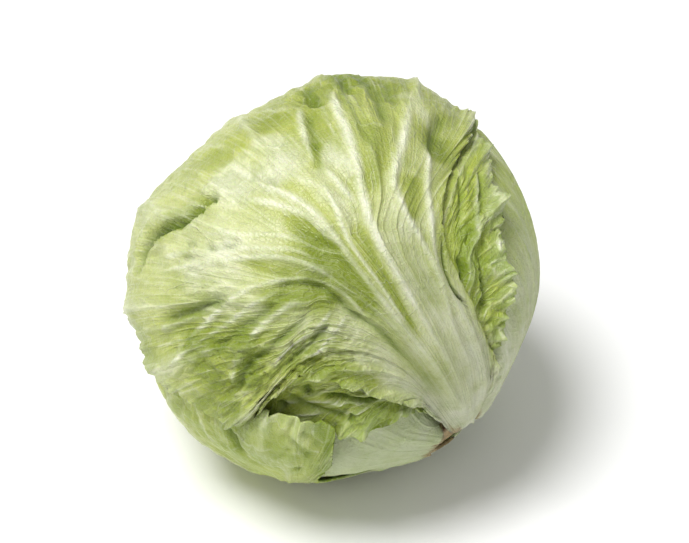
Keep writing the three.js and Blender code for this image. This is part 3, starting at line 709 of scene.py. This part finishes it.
            # Painted shade: the inside of the open fold is painted dark green, without the ribs' white
            lip, inside = self.slit(self.d)
            self.height = self.height + lip
            self.shade = inside
            self.rib_white = self.rib_white * (1 - inside)
        for share, amount in strokes(self.d, TINTS_AND_SHADE[self.layer]):
            self.green = self.green + amount * share
        # Each furrow lowers the face, takes out the ribs' white and gets painted shade, darker the deeper
        # it is
        furrows = [(knots, wide, wide, deep) for knots, deep, wide in FURROWS[self.layer]]
        for groove, deep in strokes(self.d, furrows):
            self.height = self.height - deep * groove
            self.rib_white = self.rib_white * (1 - groove)
            self.shade = np.maximum(self.shade, groove * min(1, deep / 3))

    def build_face(self, sway):
        """Places the outer face's points, in mm, and works out the leaf's thickness."""
        swell_at_root = sheet_thickness(self.d) - BLADE
        side = np.minimum(self.part, 1 - self.part) * self.breadth
        corner = np.exp(-np.minimum(self.inward, side) / CORNER_WIDTH)
        height = self.height - 0.8 * swell_at_root * corner - 1.2 * (1 - self.calm)
        curls = sum(high * bell(self.d, p, a, w) for of, p, a, w, high in CURLS if of == self.layer)
        height = height + curls
        low = -DEEPEST - swell_at_root * corner
        self.height = np.where(height < low, low + 1.2 * np.tanh((height - low) / 1.2), height)
        reach = smooth_layer(self.d, self.layer) + self.height
        reach = np.minimum(reach, floor_reach(self.d))
        tangent = unit(np.gradient(self.d, axis=0))
        self.outer = self.d * reach[..., None] + tangent * sway[..., None] + (0, 0, CENTRE_HEIGHT)
        self.outer[..., 2] = np.maximum(self.outer[..., 2], 0)
        self.thickness = THIN_BLADE + swell_at_root * (1 - corner)

    def colour_layers(self):
        """Works out the attributes that the leaf's material reads."""
        leaf, green, free = self.leaf, self.green, self.free
        white_reach = np.interp(self.part, *leaf["white"])
        white = (self.from_root - 12) / white_reach + 0.1 * self.drift + 0.5 * np.maximum(green, 0)
        margin = np.exp(-self.inward / 7) * ease(22, 45, self.from_root)
        root_white = ease(1, 0, white) * (1 - 0.9 * margin)
        browned = ease(leaf["cut"], 0.5 * leaf["cut"], self.from_root + 1.2 * self.drift)
        if self.layer == 0:
            browned = browned * ease(*FRONT_BROWN, self.part)
        phase = (self.part * leaf["ribs"] + 0.22 * self.drift) % 1
        crumple = self.calm * (0.25 + 0.75 * free) * (self.crumple + self.blisters)
        self.layers = {
            "rib_white": np.clip(self.rib_white - 0.5 * np.maximum(green, 0), 0, 1),
            "root_white": np.clip(root_white + np.maximum(-green, 0), 0, 1),
            "green": np.clip(green, 0, 1),
            "shade": self.shade,
            "crumple": np.clip(crumple, 0, 1.6),
            "rim": np.exp(-self.inward / leaf["rim"]),
            "relief": self.height,
            "across": (0.5 - np.abs(phase - 0.5)) * self.spacing,
            "down": self.from_root,
            "streak": self.along,
            "cut": browned,
        }

    def fan_ribs(self, count, drift):
        """1 on the crest of each rib of the fan, 0 midway between two."""
        phase = self.part * count + 0.22 * drift
        return 1 - np.abs(np.sin(np.pi * (phase - 0.5))) ** 0.8

    def fringe(self, along):
        """How far the leaf's edge stands out, in mm: round lobes with notches, and small teeth on them."""
        flat = np.stack((along / 21, 0 * along + 3.7 * self.layer, 0 * along), -1)
        strength = 0.6 + 0.4 * perlin(flat, 61)
        bend = 2.5 * perlin(flat * 2.1, 62)
        lobes = np.abs(np.sin(along / LOBE_PITCH + bend)) ** 0.55 - 0.75
        teeth = np.abs(np.sin(along / TOOTH_PITCH + 3 * bend)) ** 0.7 - 0.6
        return strength * (LOBE_HEIGHT * lobes + TOOTH_HEIGHT * teeth)

    def slit(self, d):
        """The long open fold on the left shoulder: its relief, and the painted shade inside it."""
        gap, at = to_curve(d, SLIT)
        gap = gap + 1.1 * perlin(np.stack((at * 16, 0 * at, 0 * at), -1), 71)
        span = ease(0, 0.12, at) * ease(1, 0.8, at)
        inside = ease(0.4, -0.6, gap) * ease(-4.2, -1.6, gap)
        lip = 1.3 * np.exp(-(((gap - 1.8) / 2) ** 2))
        roll = 1.8 * np.exp(-(((gap + 7) / 2.4) ** 2))
        return span * (lip + roll - 4.2 * inside), span * inside


def normals_of(grid):
    """The unit normals of a grid of points, outwards."""
    across = np.gradient(grid, axis=0)
    down = np.gradient(grid, axis=1)
    return unit(np.cross(across, down))


def sheet_mesh(name, outer, thickness, layers):
    """A closed sheet: a fine outer face, an inner face at half its fineness, and a rim that joins them."""
    columns, rows = outer.shape[0] - 1, outer.shape[1] - 1
    inner = (outer - normals_of(outer) * thickness[..., None])[::2, ::2]
    top = np.arange((columns + 1) * (rows + 1)).reshape(columns + 1, rows + 1)
    base = top.size
    low = base + np.arange(inner.shape[0] * inner.shape[1]).reshape(inner.shape[:2])
    quads = [
        np.stack((top[:-1, :-1], top[1:, :-1], top[1:, 1:], top[:-1, 1:]), -1).reshape(-1, 4),
        np.stack((low[:-1, :-1], low[:-1, 1:], low[1:, 1:], low[1:, :-1]), -1).reshape(-1, 4),
    ]

    def border(a):
        return np.concatenate((a[0, :-1], a[:-1, -1], a[-1, :0:-1], a[:0:-1, 0]))

    fine, coarse = border(top), border(low)
    a, m, b = fine[::2], fine[1::2], np.roll(fine, -2)[::2]
    c, e = coarse, np.roll(coarse, -1)
    tris = np.concatenate((np.stack((a, m, c), -1), np.stack((m, e, c), -1), np.stack((m, b, e), -1)))
    points = np.concatenate((outer.reshape(-1, 3), inner.reshape(-1, 3))) * 0.001
    quads = np.concatenate(quads)
    mesh = bpy.data.meshes.new(name)
    mesh.from_pydata(points.tolist(), [], quads.tolist() + tris.tolist())
    mesh.update()
    for key, values in layers.items():
        both = np.concatenate((values.reshape(-1), values[::2, ::2].reshape(-1)))
        mesh.attributes.new(key, "FLOAT", "POINT").data.foreach_set("value", both.astype(np.float32))
    mesh.polygons.foreach_set("use_smooth", [True] * len(mesh.polygons))
    return mesh


class Nodes:
    """Builds a material's node tree in short calls."""

    def __init__(self, name):
        self.material = bpy.data.materials.new(name)
        self.material.use_nodes = True
        self.tree = self.material.node_tree
        self.shader = self.tree.nodes["Principled BSDF"]

    def put(self, socket, value):
        """Links another node's output to a socket, or sets the socket to a value."""
        if isinstance(value, bpy.types.NodeSocket):
            self.tree.links.new(value, socket)
        else:
            socket.default_value = value

    def node(self, kind, settings=(), **inputs):
        """A new node with its settings, and its inputs by name."""
        node = self.tree.nodes.new("ShaderNode" + kind)
        for key, value in dict(settings).items():
            setattr(node, key, value)
        for key, value in inputs.items():
            self.put(node.inputs[key.replace("_", " ")], value)
        return node

    def attribute(self, key):
        """A number that the mesh carries at each of its points."""
        return self.node("Attribute", {"attribute_name": key}).outputs["Fac"]

    def math(self, operation, a, b=0.0, clamp=False):
        node = self.node("Math", {"operation": operation, "use_clamp": clamp})
        self.put(node.inputs[0], a)
        self.put(node.inputs[1], b)
        return node.outputs[0]

    def mix(self, factor, a, b):
        """Colour a at factor 0, and colour b at factor 1."""
        node = self.node("Mix", {"data_type": "RGBA"})
        self.put(node.inputs["Factor"], factor)
        self.put(node.inputs["A"], a)
        self.put(node.inputs["B"], b)
        return node.outputs["Result"]

    def ramp(self, value, low, high, to_low=0.0, to_high=1.0):
        """Runs smoothly from to_low at low to to_high at high."""
        node = self.node("MapRange", {"interpolation_type": "SMOOTHSTEP"})
        self.put(node.inputs["Value"], value)
        ends = {"From Min": low, "From Max": high, "To Min": to_low, "To Max": to_high}
        for key, number in ends.items():
            self.put(node.inputs[key], number)
        return node.outputs["Result"]

    def noise(self, place, scale, detail=3.0, roughness=0.55):
        node = self.node("TexNoise", Vector=place, Scale=scale, Detail=detail, Roughness=roughness)
        return node.outputs["Fac"]

    def on_sheet(self, streak, across_scale, down, down_scale):
        """A place on the leaf, along its edge and down its veins, for a pattern that follows them."""
        x = self.math("MULTIPLY", streak, across_scale)
        y = self.math("MULTIPLY", down, down_scale)
        return self.node("CombineXYZ", X=x, Y=y).outputs[0]


def rgb(red, green, blue):
    """A colour given as it looks on screen, from 0 to 255, in the linear values that shaders take."""
    linear = [((c / 255 + 0.055) / 1.055) ** 2.4 if c > 10 else c / 3294.6 for c in (red, green, blue)]
    return (*linear, 1.0)


# Colours that the settings don't change: the painted shade inside the open fold and the furrows, the
# browned ends of the leaves, the cut face with its specks, and the side of the core.
FOLD_PAINTED_SHADE = rgb(98, 120, 36)
BROWNED_END = (rgb(172, 156, 112), rgb(134, 114, 74))
BROWNED_FACE = (rgb(172, 150, 104), rgb(130, 106, 66))
FACE_SPECKS = rgb(100, 78, 46)
CORE_SIDE = rgb(214, 214, 176)
# Painted shade: the white close to the core is painted darker by this share
ROOT_PAINTED_SHADE = 0.78  # how much darker the white is close to the core
BUMP_DEPTH = 0.0006  # depth in metres of the relief that only the materials show
LEAF_REFRACTION = 1.42
LEAF_TRANSLUCENCE = 0.15
LEAF_GLOW = (0.6, 1.0, 0.25)  # how far red, green and blue light spread in a leaf
LEAF_GLOW_REACH = 0.0025  # the reach in metres that these are shares of


def leaf_material(name, tissue, green, pale, sheen_rough):
    """The look of one leaf, from the colours of its blade, its margin and its ribs."""
    n = Nodes(name)
    place = n.node("TexCoord").outputs["Object"]
    down, across, streak = n.attribute("down"), n.attribute("across"), n.attribute("streak")
    rib, root, rim = n.attribute("rib_white"), n.attribute("root_white"), n.attribute("rim")
    relief, tint_and_shade, shade = n.attribute("relief"), n.attribute("green"), n.attribute("shade")
    rumpled = n.attribute("crumple")

    # Patches of colour, and fine lines along the ribs
    broad = n.noise(place, 34.0, 4.0)
    patch = n.noise(place, 110.0, 4.0, 0.62)
    fine = n.noise(place, 420.0, 5.0)
    lines = n.noise(n.on_sheet(streak, 0.75, down, 0.03), 1.0, 4.0, 0.6)

    # Side veins that leave the ribs at a slant, and the net of veinlets between them
    wobble = n.math("MULTIPLY", n.noise(place, 120.0, 2.0), 8.0)
    slant = n.math("ADD", n.math("SUBTRACT", down, n.math("MULTIPLY", across, 1.3)), wobble)
    branch = n.ramp(n.math("PINGPONG", slant, 3.9), 0.0, 0.6, 1.0, 0.0)
    branch = n.math("MULTIPLY", branch, n.ramp(patch, 0.4, 0.6))
    bent = n.mix(0.004, place, n.node("TexNoise", Vector=place, Scale=260.0).outputs["Color"])
    cells = n.node("TexVoronoi", {"feature": "DISTANCE_TO_EDGE"}, Vector=bent, Scale=520.0)
    veinlet = n.ramp(cells.outputs["Distance"], 0.0, 0.16, 1.0, 0.0)

    # Wrinkles of the crumpled parts, and small bubbles
    wrinkle = n.node(
        "TexNoise", {"noise_type": "RIDGED_MULTIFRACTAL"}, Vector=n.on_sheet(streak, 0.17, down, 0.07),
        Scale=1.0, Detail=2.0, Roughness=0.5, Offset=1.0, Distortion=0.5,
    ).outputs["Fac"]
    wrinkle = n.ramp(wrinkle, 0.5, 1.5)
    bubble = n.math("MULTIPLY", n.ramp(n.noise(place, 330.0, 1.0), 0.5, 0.72), n.ramp(broad, 0.42, 0.62))

    # The blade: greener at its margin and, as painted shade, in its hollows; paler on its veins and, as
    # painted highlight, on its crests
    greener = n.math("ADD", n.math("MULTIPLY", rim, 0.5), n.ramp(broad, 0.35, 0.68, -0.05, 0.4))
    greener = n.math("ADD", greener, tint_and_shade, True)
    colour = n.mix(greener, tissue, green)
    # Painted shade in the low parts of the relief, and painted highlight on its high crests
    colour = n.mix(n.ramp(relief, -1.6, 1.0, 0.5, 0.0), colour, green)
    colour = n.mix(n.ramp(relief, 1.0, 3.6, 0.0, 0.22), colour, pale)
    colour = n.mix(n.math("MULTIPLY", veinlet, 0.06), colour, pale)
    colour = n.mix(n.math("MULTIPLY", branch, 0.22), colour, pale)

    # The white of the ribs and of the root, painted a little darker close to the core as painted shade
    whiter = n.math("MAXIMUM", n.math("MULTIPLY", rib, 0.95), n.math("MULTIPLY", root, 0.85), True)
    whiter = n.math("SUBTRACT", whiter, n.math("MULTIPLY", tint_and_shade, 0.45), True)
    whiter = n.math("MULTIPLY", whiter, n.ramp(patch, 0.62, 0.36, 0.72, 1.0))
    root_shaded_white = (*[ROOT_PAINTED_SHADE * value for value in pale[:3]], 1.0)
    colour = n.mix(whiter, colour, n.mix(n.ramp(down, 115.0, 50.0, 0.0, 0.95), pale, root_shaded_white))

    # Lines, the painted shade in the wrinkles' hollows and speckles over both, the painted shade inside the
    # open fold and the furrows, and the browned end
    colour = n.mix(n.ramp(lines, 0.5, 0.7, 0.0, 0.26), colour, pale)
    colour = n.mix(n.ramp(lines, 0.48, 0.28, 0.0, 0.24), colour, green)
    # Painted shade: the hollows of the wrinkles are painted darker green
    hollow = n.math("MULTIPLY", n.ramp(wrinkle, 0.75, 0.1, 0.0, 0.45), rumpled, True)
    colour = n.mix(hollow, colour, green)
    colour = n.mix(n.ramp(patch, 0.5, 0.78, 0.0, 0.25), colour, green)
    colour = n.mix(n.ramp(fine, 0.45, 0.75, 0.0, 0.12), colour, green)
    colour = n.mix(shade, colour, FOLD_PAINTED_SHADE)
    brown = n.mix(n.ramp(fine, 0.35, 0.65), *BROWNED_END)
    colour = n.mix(n.attribute("cut"), colour, brown)
    n.put(n.shader.inputs["Base Color"], colour)

    # Gloss, and the light that comes through
    n.put(n.shader.inputs["Roughness"], n.ramp(fine, 0.2, 0.8, sheen_rough - 0.06, sheen_rough + 0.1))
    n.shader.inputs["IOR"].default_value = LEAF_REFRACTION
    n.shader.inputs["Subsurface Weight"].default_value = LEAF_TRANSLUCENCE
    n.shader.inputs["Subsurface Radius"].default_value = LEAF_GLOW
    n.shader.inputs["Subsurface Scale"].default_value = LEAF_GLOW_REACH

    # Relief too fine for the mesh
    crease = n.math("ADD", n.math("MULTIPLY", veinlet, 0.45), n.math("MULTIPLY", branch, 0.6))
    grain = n.math("ADD", n.math("MULTIPLY", fine, 0.4), n.math("MULTIPLY", patch, 1.6))
    height = n.math("ADD", crease, n.math("ADD", grain, lines))
    height = n.math("ADD", height, n.math("MULTIPLY", n.math("MULTIPLY", wrinkle, rumpled), 1.3))
    height = n.math("ADD", height, n.math("MULTIPLY", bubble, 0.9))
    bump = n.node("Bump", Height=height, Strength=0.6, Distance=BUMP_DEPTH)
    n.put(n.shader.inputs["Normal"], bump.outputs["Normal"])
    return n.material


def stem_material():
    """The core: pale at its side and browned on its cut face."""
    n = Nodes("cut_stem")
    place = n.node("TexCoord").outputs["Object"]
    fine = n.noise(place, 700.0, 5.0, 0.65)
    broad = n.noise(place, 120.0, 3.0)
    brown = n.mix(n.ramp(broad, 0.3, 0.7), *BROWNED_FACE)
    brown = n.mix(n.ramp(fine, 0.4, 0.7, 0.0, 0.6), brown, FACE_SPECKS)
    colour = n.mix(n.attribute("face"), CORE_SIDE, brown)
    n.put(n.shader.inputs["Base Color"], colour)
    n.shader.inputs["Roughness"].default_value = 0.62
    n.shader.inputs["Subsurface Weight"].default_value = 0.1
    n.shader.inputs["Subsurface Scale"].default_value = 0.002
    bump = n.node("Bump", Height=n.math("ADD", fine, broad), Strength=0.6, Distance=BUMP_DEPTH)
    n.put(n.shader.inputs["Normal"], bump.outputs["Normal"])
    return n.material


def floor_material():
    """The white floor."""
    n = Nodes("studio_floor")
    grain = n.noise(n.node("TexCoord").outputs["Object"], 30.0)
    n.put(n.shader.inputs["Base Color"], n.mix(grain, (0.96, 0.96, 0.96, 1), (0.98, 0.98, 0.98, 1)))
    n.shader.inputs["Roughness"].default_value = 0.9
    n.shader.inputs["Specular IOR Level"].default_value = 0.1
    return n.material


def add_object(name, mesh, material, node):
    """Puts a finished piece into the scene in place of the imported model's own."""
    piece = bpy.data.objects.new(name, mesh)
    mesh.materials.append(material)
    bpy.context.scene.collection.objects.link(piece)
    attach(piece, "root")
    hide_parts(node)
    return piece


# Each leaf's grid (columns and rows), the setting with the colour of its ribs, its roughness and
# its slot. The slot also names the settings with the colours of its blade and margin.
LEAF_LOOKS = (
    ((480, 150), "ribs", 0.32, "leaf_front"),
    ((460, 110), "ribs", 0.36, "leaf_underside"),
    ((480, 130), "ribs", 0.34, "leaf_inner"),
    ((320, 100), "ribs", 0.38, "leaf_right"),
    ((260, 80), "shaded_bottom_ribs", 0.44, "leaf_bottom"),
    ((260, 80), "ribs", 0.42, "leaf_back"),
)
HEART_ROUGHNESS = 0.45

# The studio, in metres: each light's place and breadth, and the setting with its power.
LIGHTS = (
    ("key", (-0.8, -0.55, 2.5), 1.25, "key_power"),
    ("fill", (-0.6, -1.8, 1.4), 1.6, "fill_power"),
)
LIGHTS_AIM = (0, 0, 0.06)
FLOOR_HALF = 4
CAMERA_SHIFT = 0.00376  # how far the camera stands to the right of the head's centre, and above it


def ring_mesh(name, rings, first, last, layers):
    """A closed skin through rings of points, with a point that closes each end."""
    rows, around = rings.shape[:2]
    index = np.arange(rows * around).reshape(rows, around)
    turn = np.roll(index, -1, axis=1)
    quads = np.stack((index[:-1], index[1:], turn[1:], turn[:-1]), -1).reshape(-1, 4)
    start, end = rows * around, rows * around + 1
    cap = [(start, a, b) for a, b in zip(index[0], turn[0])]
    tail = [(end, b, a) for a, b in zip(index[-1], turn[-1])]
    points = np.concatenate((rings.reshape(-1, 3), [first, last])) * 0.001
    mesh = bpy.data.meshes.new(name)
    mesh.from_pydata(points.tolist(), [], quads.tolist() + cap + tail)
    mesh.update()
    for key, values in layers.items():
        values = np.append(np.repeat(values, around), (values[0], values[-1])).astype(np.float32)
        mesh.attributes.new(key, "FLOAT", "POINT").data.foreach_set("value", values)
    mesh.polygons.foreach_set("use_smooth", [True] * len(mesh.polygons))
    return mesh


def a_colour(name, description, red, green, blue):
    """A colour that the user can change, given as it looks on screen."""
    return bpy.props.FloatVectorProperty(
        name=name, description=description, default=rgb(red, green, blue)[:3],
        subtype="COLOR", size=3, min=0.0, max=1.0,
    )


def a_number(name, description, default, **limits):
    """A size, power or share that the user can change."""
    return bpy.props.FloatProperty(name=name, description=description, default=default, **limits)


class LettuceSettings(bpy.types.PropertyGroup):
    """The sizes and colours of the lettuce and its studio that a user would change"""

    detail: a_number(
        "Detail", "Share of the full fineness of the leaves' meshes", 1.0,
        min=0.2, max=1.0, subtype="FACTOR")
    ruffles: a_number(
        "Ruffles", "Height of the leaves' ruffled margins, as a share of the one they are drawn with", 1.0,
        min=0.0, max=1.2, subtype="FACTOR")
    ribs: a_colour("Ribs", "The white of the ribs and roots", 238, 241, 216)
    # Painted shade: the bottom leaf faces down, and its white is a darker copy of the ribs' white
    shaded_bottom_ribs: a_colour("Bottom ribs", "The white of the bottom leaf", 208, 216, 178)
    # Each leaf's margin colour is also the colour of the painted shade in its hollows and wrinkles
    leaf_front_blade: a_colour("Front leaf", "The front leaf's blade", 184, 193, 98)
    leaf_front_margin: a_colour("Front margin", "The front leaf's margin and hollows", 124, 140, 36)
    leaf_underside_blade: a_colour("Underside leaf", "The underside leaf's blade", 190, 200, 102)
    leaf_underside_margin: a_colour(
        "Underside margin", "The underside leaf's margin and hollows", 132, 152, 40)
    leaf_inner_blade: a_colour("Inner leaf", "The inner front leaf's blade", 178, 190, 78)
    leaf_inner_margin: a_colour("Inner margin", "The inner front leaf's margin and hollows", 130, 150, 42)
    leaf_right_blade: a_colour("Right leaf", "The right leaf's blade", 176, 190, 96)
    leaf_right_margin: a_colour("Right margin", "The right leaf's margin and hollows", 134, 154, 50)
    leaf_bottom_blade: a_colour("Bottom leaf", "The bottom leaf's blade", 196, 206, 144)
    leaf_bottom_margin: a_colour("Bottom margin", "The bottom leaf's margin and hollows", 138, 160, 64)
    leaf_back_blade: a_colour("Back leaf", "The back leaf's blade", 186, 200, 112)
    leaf_back_margin: a_colour("Back margin", "The back leaf's margin and hollows", 118, 144, 42)
    heart_blade: a_colour("Heart", "The blades of the heart's leaves", 214, 220, 150)
    heart_margin: a_colour("Heart margin", "The hollows of the heart's leaves", 170, 190, 92)
    lens: a_number("Lens", "Focal length of the camera", 118.74, unit="CAMERA")
    camera_distance: a_number("Camera distance", "From the camera to the head's centre", 0.9, unit="LENGTH")
    camera_tilt: a_number("Camera tilt", "How far the camera looks down", math.radians(38), unit="ROTATION")
    key_power: a_number("Key light", "Power of the light at the upper left", 70.0, min=0.0, unit="POWER")
    fill_power: a_number("Fill light", "Power of the light in front", 1.0, min=0.0, unit="POWER")
    surroundings: a_number("Surroundings", "Strength of the white light from all round", 0.4, min=0.0)


def tones(settings, piece, ribs="ribs"):
    """The colours of a piece's blade, margin and ribs, as shaders take them."""
    return [(*getattr(settings, key), 1.0) for key in (piece + "_blade", piece + "_margin", ribs)]


class LETTUCE_OT_leaves(bpy.types.Operator):
    """Build the six wrapper leaves"""

    bl_idname = "lettuce.leaves"
    bl_label = "Wrapper leaves"

    def execute(self, context):
        settings = context.scene.lettuce
        detail = settings.detail
        for layer, ((columns, rows), ribs, rough, slot) in enumerate(LEAF_LOOKS):
            name = LEAVES[layer]["name"]
            columns, rows = 4 * int(columns * detail / 4), 2 * int(rows * detail / 2)
            shape = LeafShape(layer, columns, rows, settings.ruffles)
            mesh = sheet_mesh(name + "_look", shape.outer, shape.thickness, shape.layers)
            material = leaf_material(name + "_surface", *tones(settings, slot, ribs), rough)
            add_object(name + "_look", mesh, material, name)
        return {"FINISHED"}


class LETTUCE_OT_heart(bpy.types.Operator):
    """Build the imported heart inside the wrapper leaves"""

    bl_idname = "lettuce.heart"
    bl_label = "Heart"

    def execute(self, context):
        polar = np.linspace(HEART_CROWN, LEAF_ROOT + HEART_MOUTH, HEART_ROWS)
        turn = np.linspace(0, 360, HEART_SIDES, endpoint=False)
        polar, azimuth = np.meshgrid(polar, turn, indexing="ij")
        apart = 360 / HEART_LEAVES
        step = (azimuth % apart) / apart
        d = direction(polar, azimuth + HEART_TWIST * polar)
        fold = np.minimum(step / HEART_OVERLAP, (1 - step) / (1 - HEART_OVERLAP))
        fold = HEART_FOLD * fold * np.sin(np.radians(polar))
        bumps = 0.5 * perlin(d * HEAD_RADIUS / 7, 21)
        reach = smooth_layer(d, len(LEAVES)) - HEART_INSET + fold + bumps
        socket = direction(SOCKET_POLAR + 0 * turn, turn + HEART_TWIST * LEAF_ROOT) * SOCKET_REACH
        rings = np.concatenate((d * reach[..., None], socket[None]))
        crown = direction(np.array(180.0), np.array(0.0)) * reach[0].mean()
        lift = np.array((0, 0, CENTRE_HEIGHT))
        inside = np.ones(len(rings))
        layers = {"rib_white": 0.3 * inside, "root_white": 0.5 * inside, "relief": 2 * inside}
        mesh = ring_mesh("heart_look", rings + lift, crown + lift, STEM_AXIS * SOCKET_FLOOR + lift, layers)
        tissue, green, pale = tones(context.scene.lettuce, "heart")
        material = leaf_material("heart_surface", tissue, green, pale, HEART_ROUGHNESS)
        add_object("heart_look", mesh, material, "heart")
        return {"FINISHED"}


def core_profile():
    """Radius and reach of the core's rings, from its inner end to the middle of its cut face."""
    slope = math.tan(math.radians(CORE_CONE))
    face_radius = CORE_REACH * slope
    profile = [(CORE_DEPTH * slope * share, CORE_DEPTH) for share in CORE_START]
    for reach in np.linspace(CORE_DEPTH + 4, CORE_REACH - 1.4, CORE_ROWS):
        profile.append((reach * slope, reach))
    profile += [(face_radius - inset, CORE_REACH - low) for inset, low in CORE_BEVEL]
    for share in np.linspace(1, 0.1, CORE_ROWS):
        profile.append((share * (face_radius - FACE_INSET), CORE_REACH - FACE_DISH * share * (1 - share)))
    return profile


class LETTUCE_OT_core(bpy.types.Operator):
    """Build the core with its browned cut face"""

    bl_idname = "lettuce.core"
    bl_label = "Core and cut stem"

    def execute(self, context):
        profile = core_profile()
        turn = np.radians(np.linspace(0, 360, CORE_SIDES, endpoint=False))
        around = np.cos(turn)[:, None] * TOWARDS - np.sin(turn)[:, None] * SIDEWAYS
        wobble = 1 + 0.012 * np.sin(5 * turn) + 0.01 * np.sin(11 * turn + 1)
        rings = []
        for row, (radius, reach) in enumerate(profile):
            rough = 1.0 if row >= len(CORE_START) + CORE_ROWS else 0.15
            place = np.stack((np.cos(turn) * radius, np.sin(turn) * radius, 0 * turn), -1)
            grain = 0.14 * rough * perlin(place, 31)
            ring = radius * wobble[:, None] * around
            rings.append(ring + (reach + grain)[:, None] * STEM_AXIS)
        lift = np.array((0, 0, CENTRE_HEIGHT))
        ends = [STEM_AXIS * reach + lift for reach in (CORE_DEPTH, CORE_REACH)]
        reach = np.array([reach for radius, reach in profile])
        layers = {"face": ease(CORE_REACH - 5, CORE_REACH - 2, reach)}
        mesh = ring_mesh("core_look", np.array(rings) + lift, *ends, layers)
        add_object("core_look", mesh, stem_material(), "core_cut_stem")
        return {"FINISHED"}


def add_floor(scene):
    """The white floor, a part of the stage."""
    mesh = bpy.data.meshes.new("floor")
    corners = [(-1, -1, 0), (1, -1, 0), (1, 1, 0), (-1, 1, 0)]
    mesh.from_pydata([(x * FLOOR_HALF, y * FLOOR_HALF, z) for x, y, z in corners], [], [(0, 1, 2, 3)])
    floor = bpy.data.objects.new("floor", mesh)
    mesh.materials.append(floor_material())
    scene.collection.objects.link(floor)


def add_lights(scene):
    """The soft lights, and the white all round."""
    for name, place, size, power in LIGHTS:
        light = bpy.data.lights.new(name, "AREA")
        light.shape = "DISK"
        light.size = size
        light.energy = getattr(scene.lettuce, power)
        lamp = bpy.data.objects.new(name, light)
        lamp.location = place
        aim = Vector(LIGHTS_AIM) - Vector(place)
        lamp.rotation_euler = aim.to_track_quat("-Z", "Y").to_euler()
        scene.collection.objects.link(lamp)
    world = bpy.data.worlds.new("studio")
    world.use_nodes = True
    background = world.node_tree.nodes["Background"]
    background.inputs["Color"].default_value = (1, 1, 1, 1)
    background.inputs["Strength"].default_value = scene.lettuce.surroundings
    scene.world = world


def add_camera(scene):
    """The camera, which looks down on the head from the front."""
    camera = bpy.data.cameras.new("camera")
    camera.lens = scene.lettuce.lens
    camera.sensor_width = 36.0
    camera.clip_end = 20.0
    eye = bpy.data.objects.new("camera", camera)
    tilt = scene.lettuce.camera_tilt
    back = Vector((0, -math.cos(tilt), math.sin(tilt))) * scene.lettuce.camera_distance
    shift = Vector((1, math.sin(tilt), math.cos(tilt))) * CAMERA_SHIFT
    eye.location = Vector((0, 0, CENTRE_HEIGHT / 1000)) + back + shift
    eye.rotation_euler = (math.pi / 2 - tilt, 0, 0)
    scene.collection.objects.link(eye)
    scene.camera = eye


class LETTUCE_OT_stage(bpy.types.Operator):
    """Set up the floor, the soft studio light and the camera"""

    bl_idname = "lettuce.stage"
    bl_label = "Studio"

    def execute(self, context):
        scene = context.scene
        add_floor(scene)
        add_lights(scene)
        scene.view_settings.view_transform = "Standard"
        add_camera(scene)
        return {"FINISHED"}


class LETTUCE_PT_panel(bpy.types.Panel):
    """The lettuce's settings and the steps that build it"""

    bl_idname = "LETTUCE_PT_panel"
    bl_label = "Head of lettuce"
    bl_space_type = "VIEW_3D"
    bl_region_type = "UI"
    bl_category = "Lettuce"

    def draw(self, context):
        settings = context.scene.lettuce
        for key in LettuceSettings.__annotations__:
            self.layout.prop(settings, key)
        for operator in OPERATORS:
            self.layout.operator(operator.bl_idname)


OPERATORS = (LETTUCE_OT_leaves, LETTUCE_OT_heart, LETTUCE_OT_core, LETTUCE_OT_stage)
CLASSES = (LettuceSettings, *OPERATORS, LETTUCE_PT_panel)


def register():
    for cls in CLASSES:
        bpy.utils.register_class(cls)
    bpy.types.Scene.lettuce = bpy.props.PointerProperty(type=LettuceSettings)


def unregister():
    del bpy.types.Scene.lettuce
    for cls in reversed(CLASSES):
        bpy.utils.unregister_class(cls)


def main():
    register()
    bpy.ops.lettuce.leaves()
    bpy.ops.lettuce.heart()
    bpy.ops.lettuce.core()
    bpy.ops.lettuce.stage()
    bpy.context.view_layer.update()


if __name__ == "__main__":
    main()
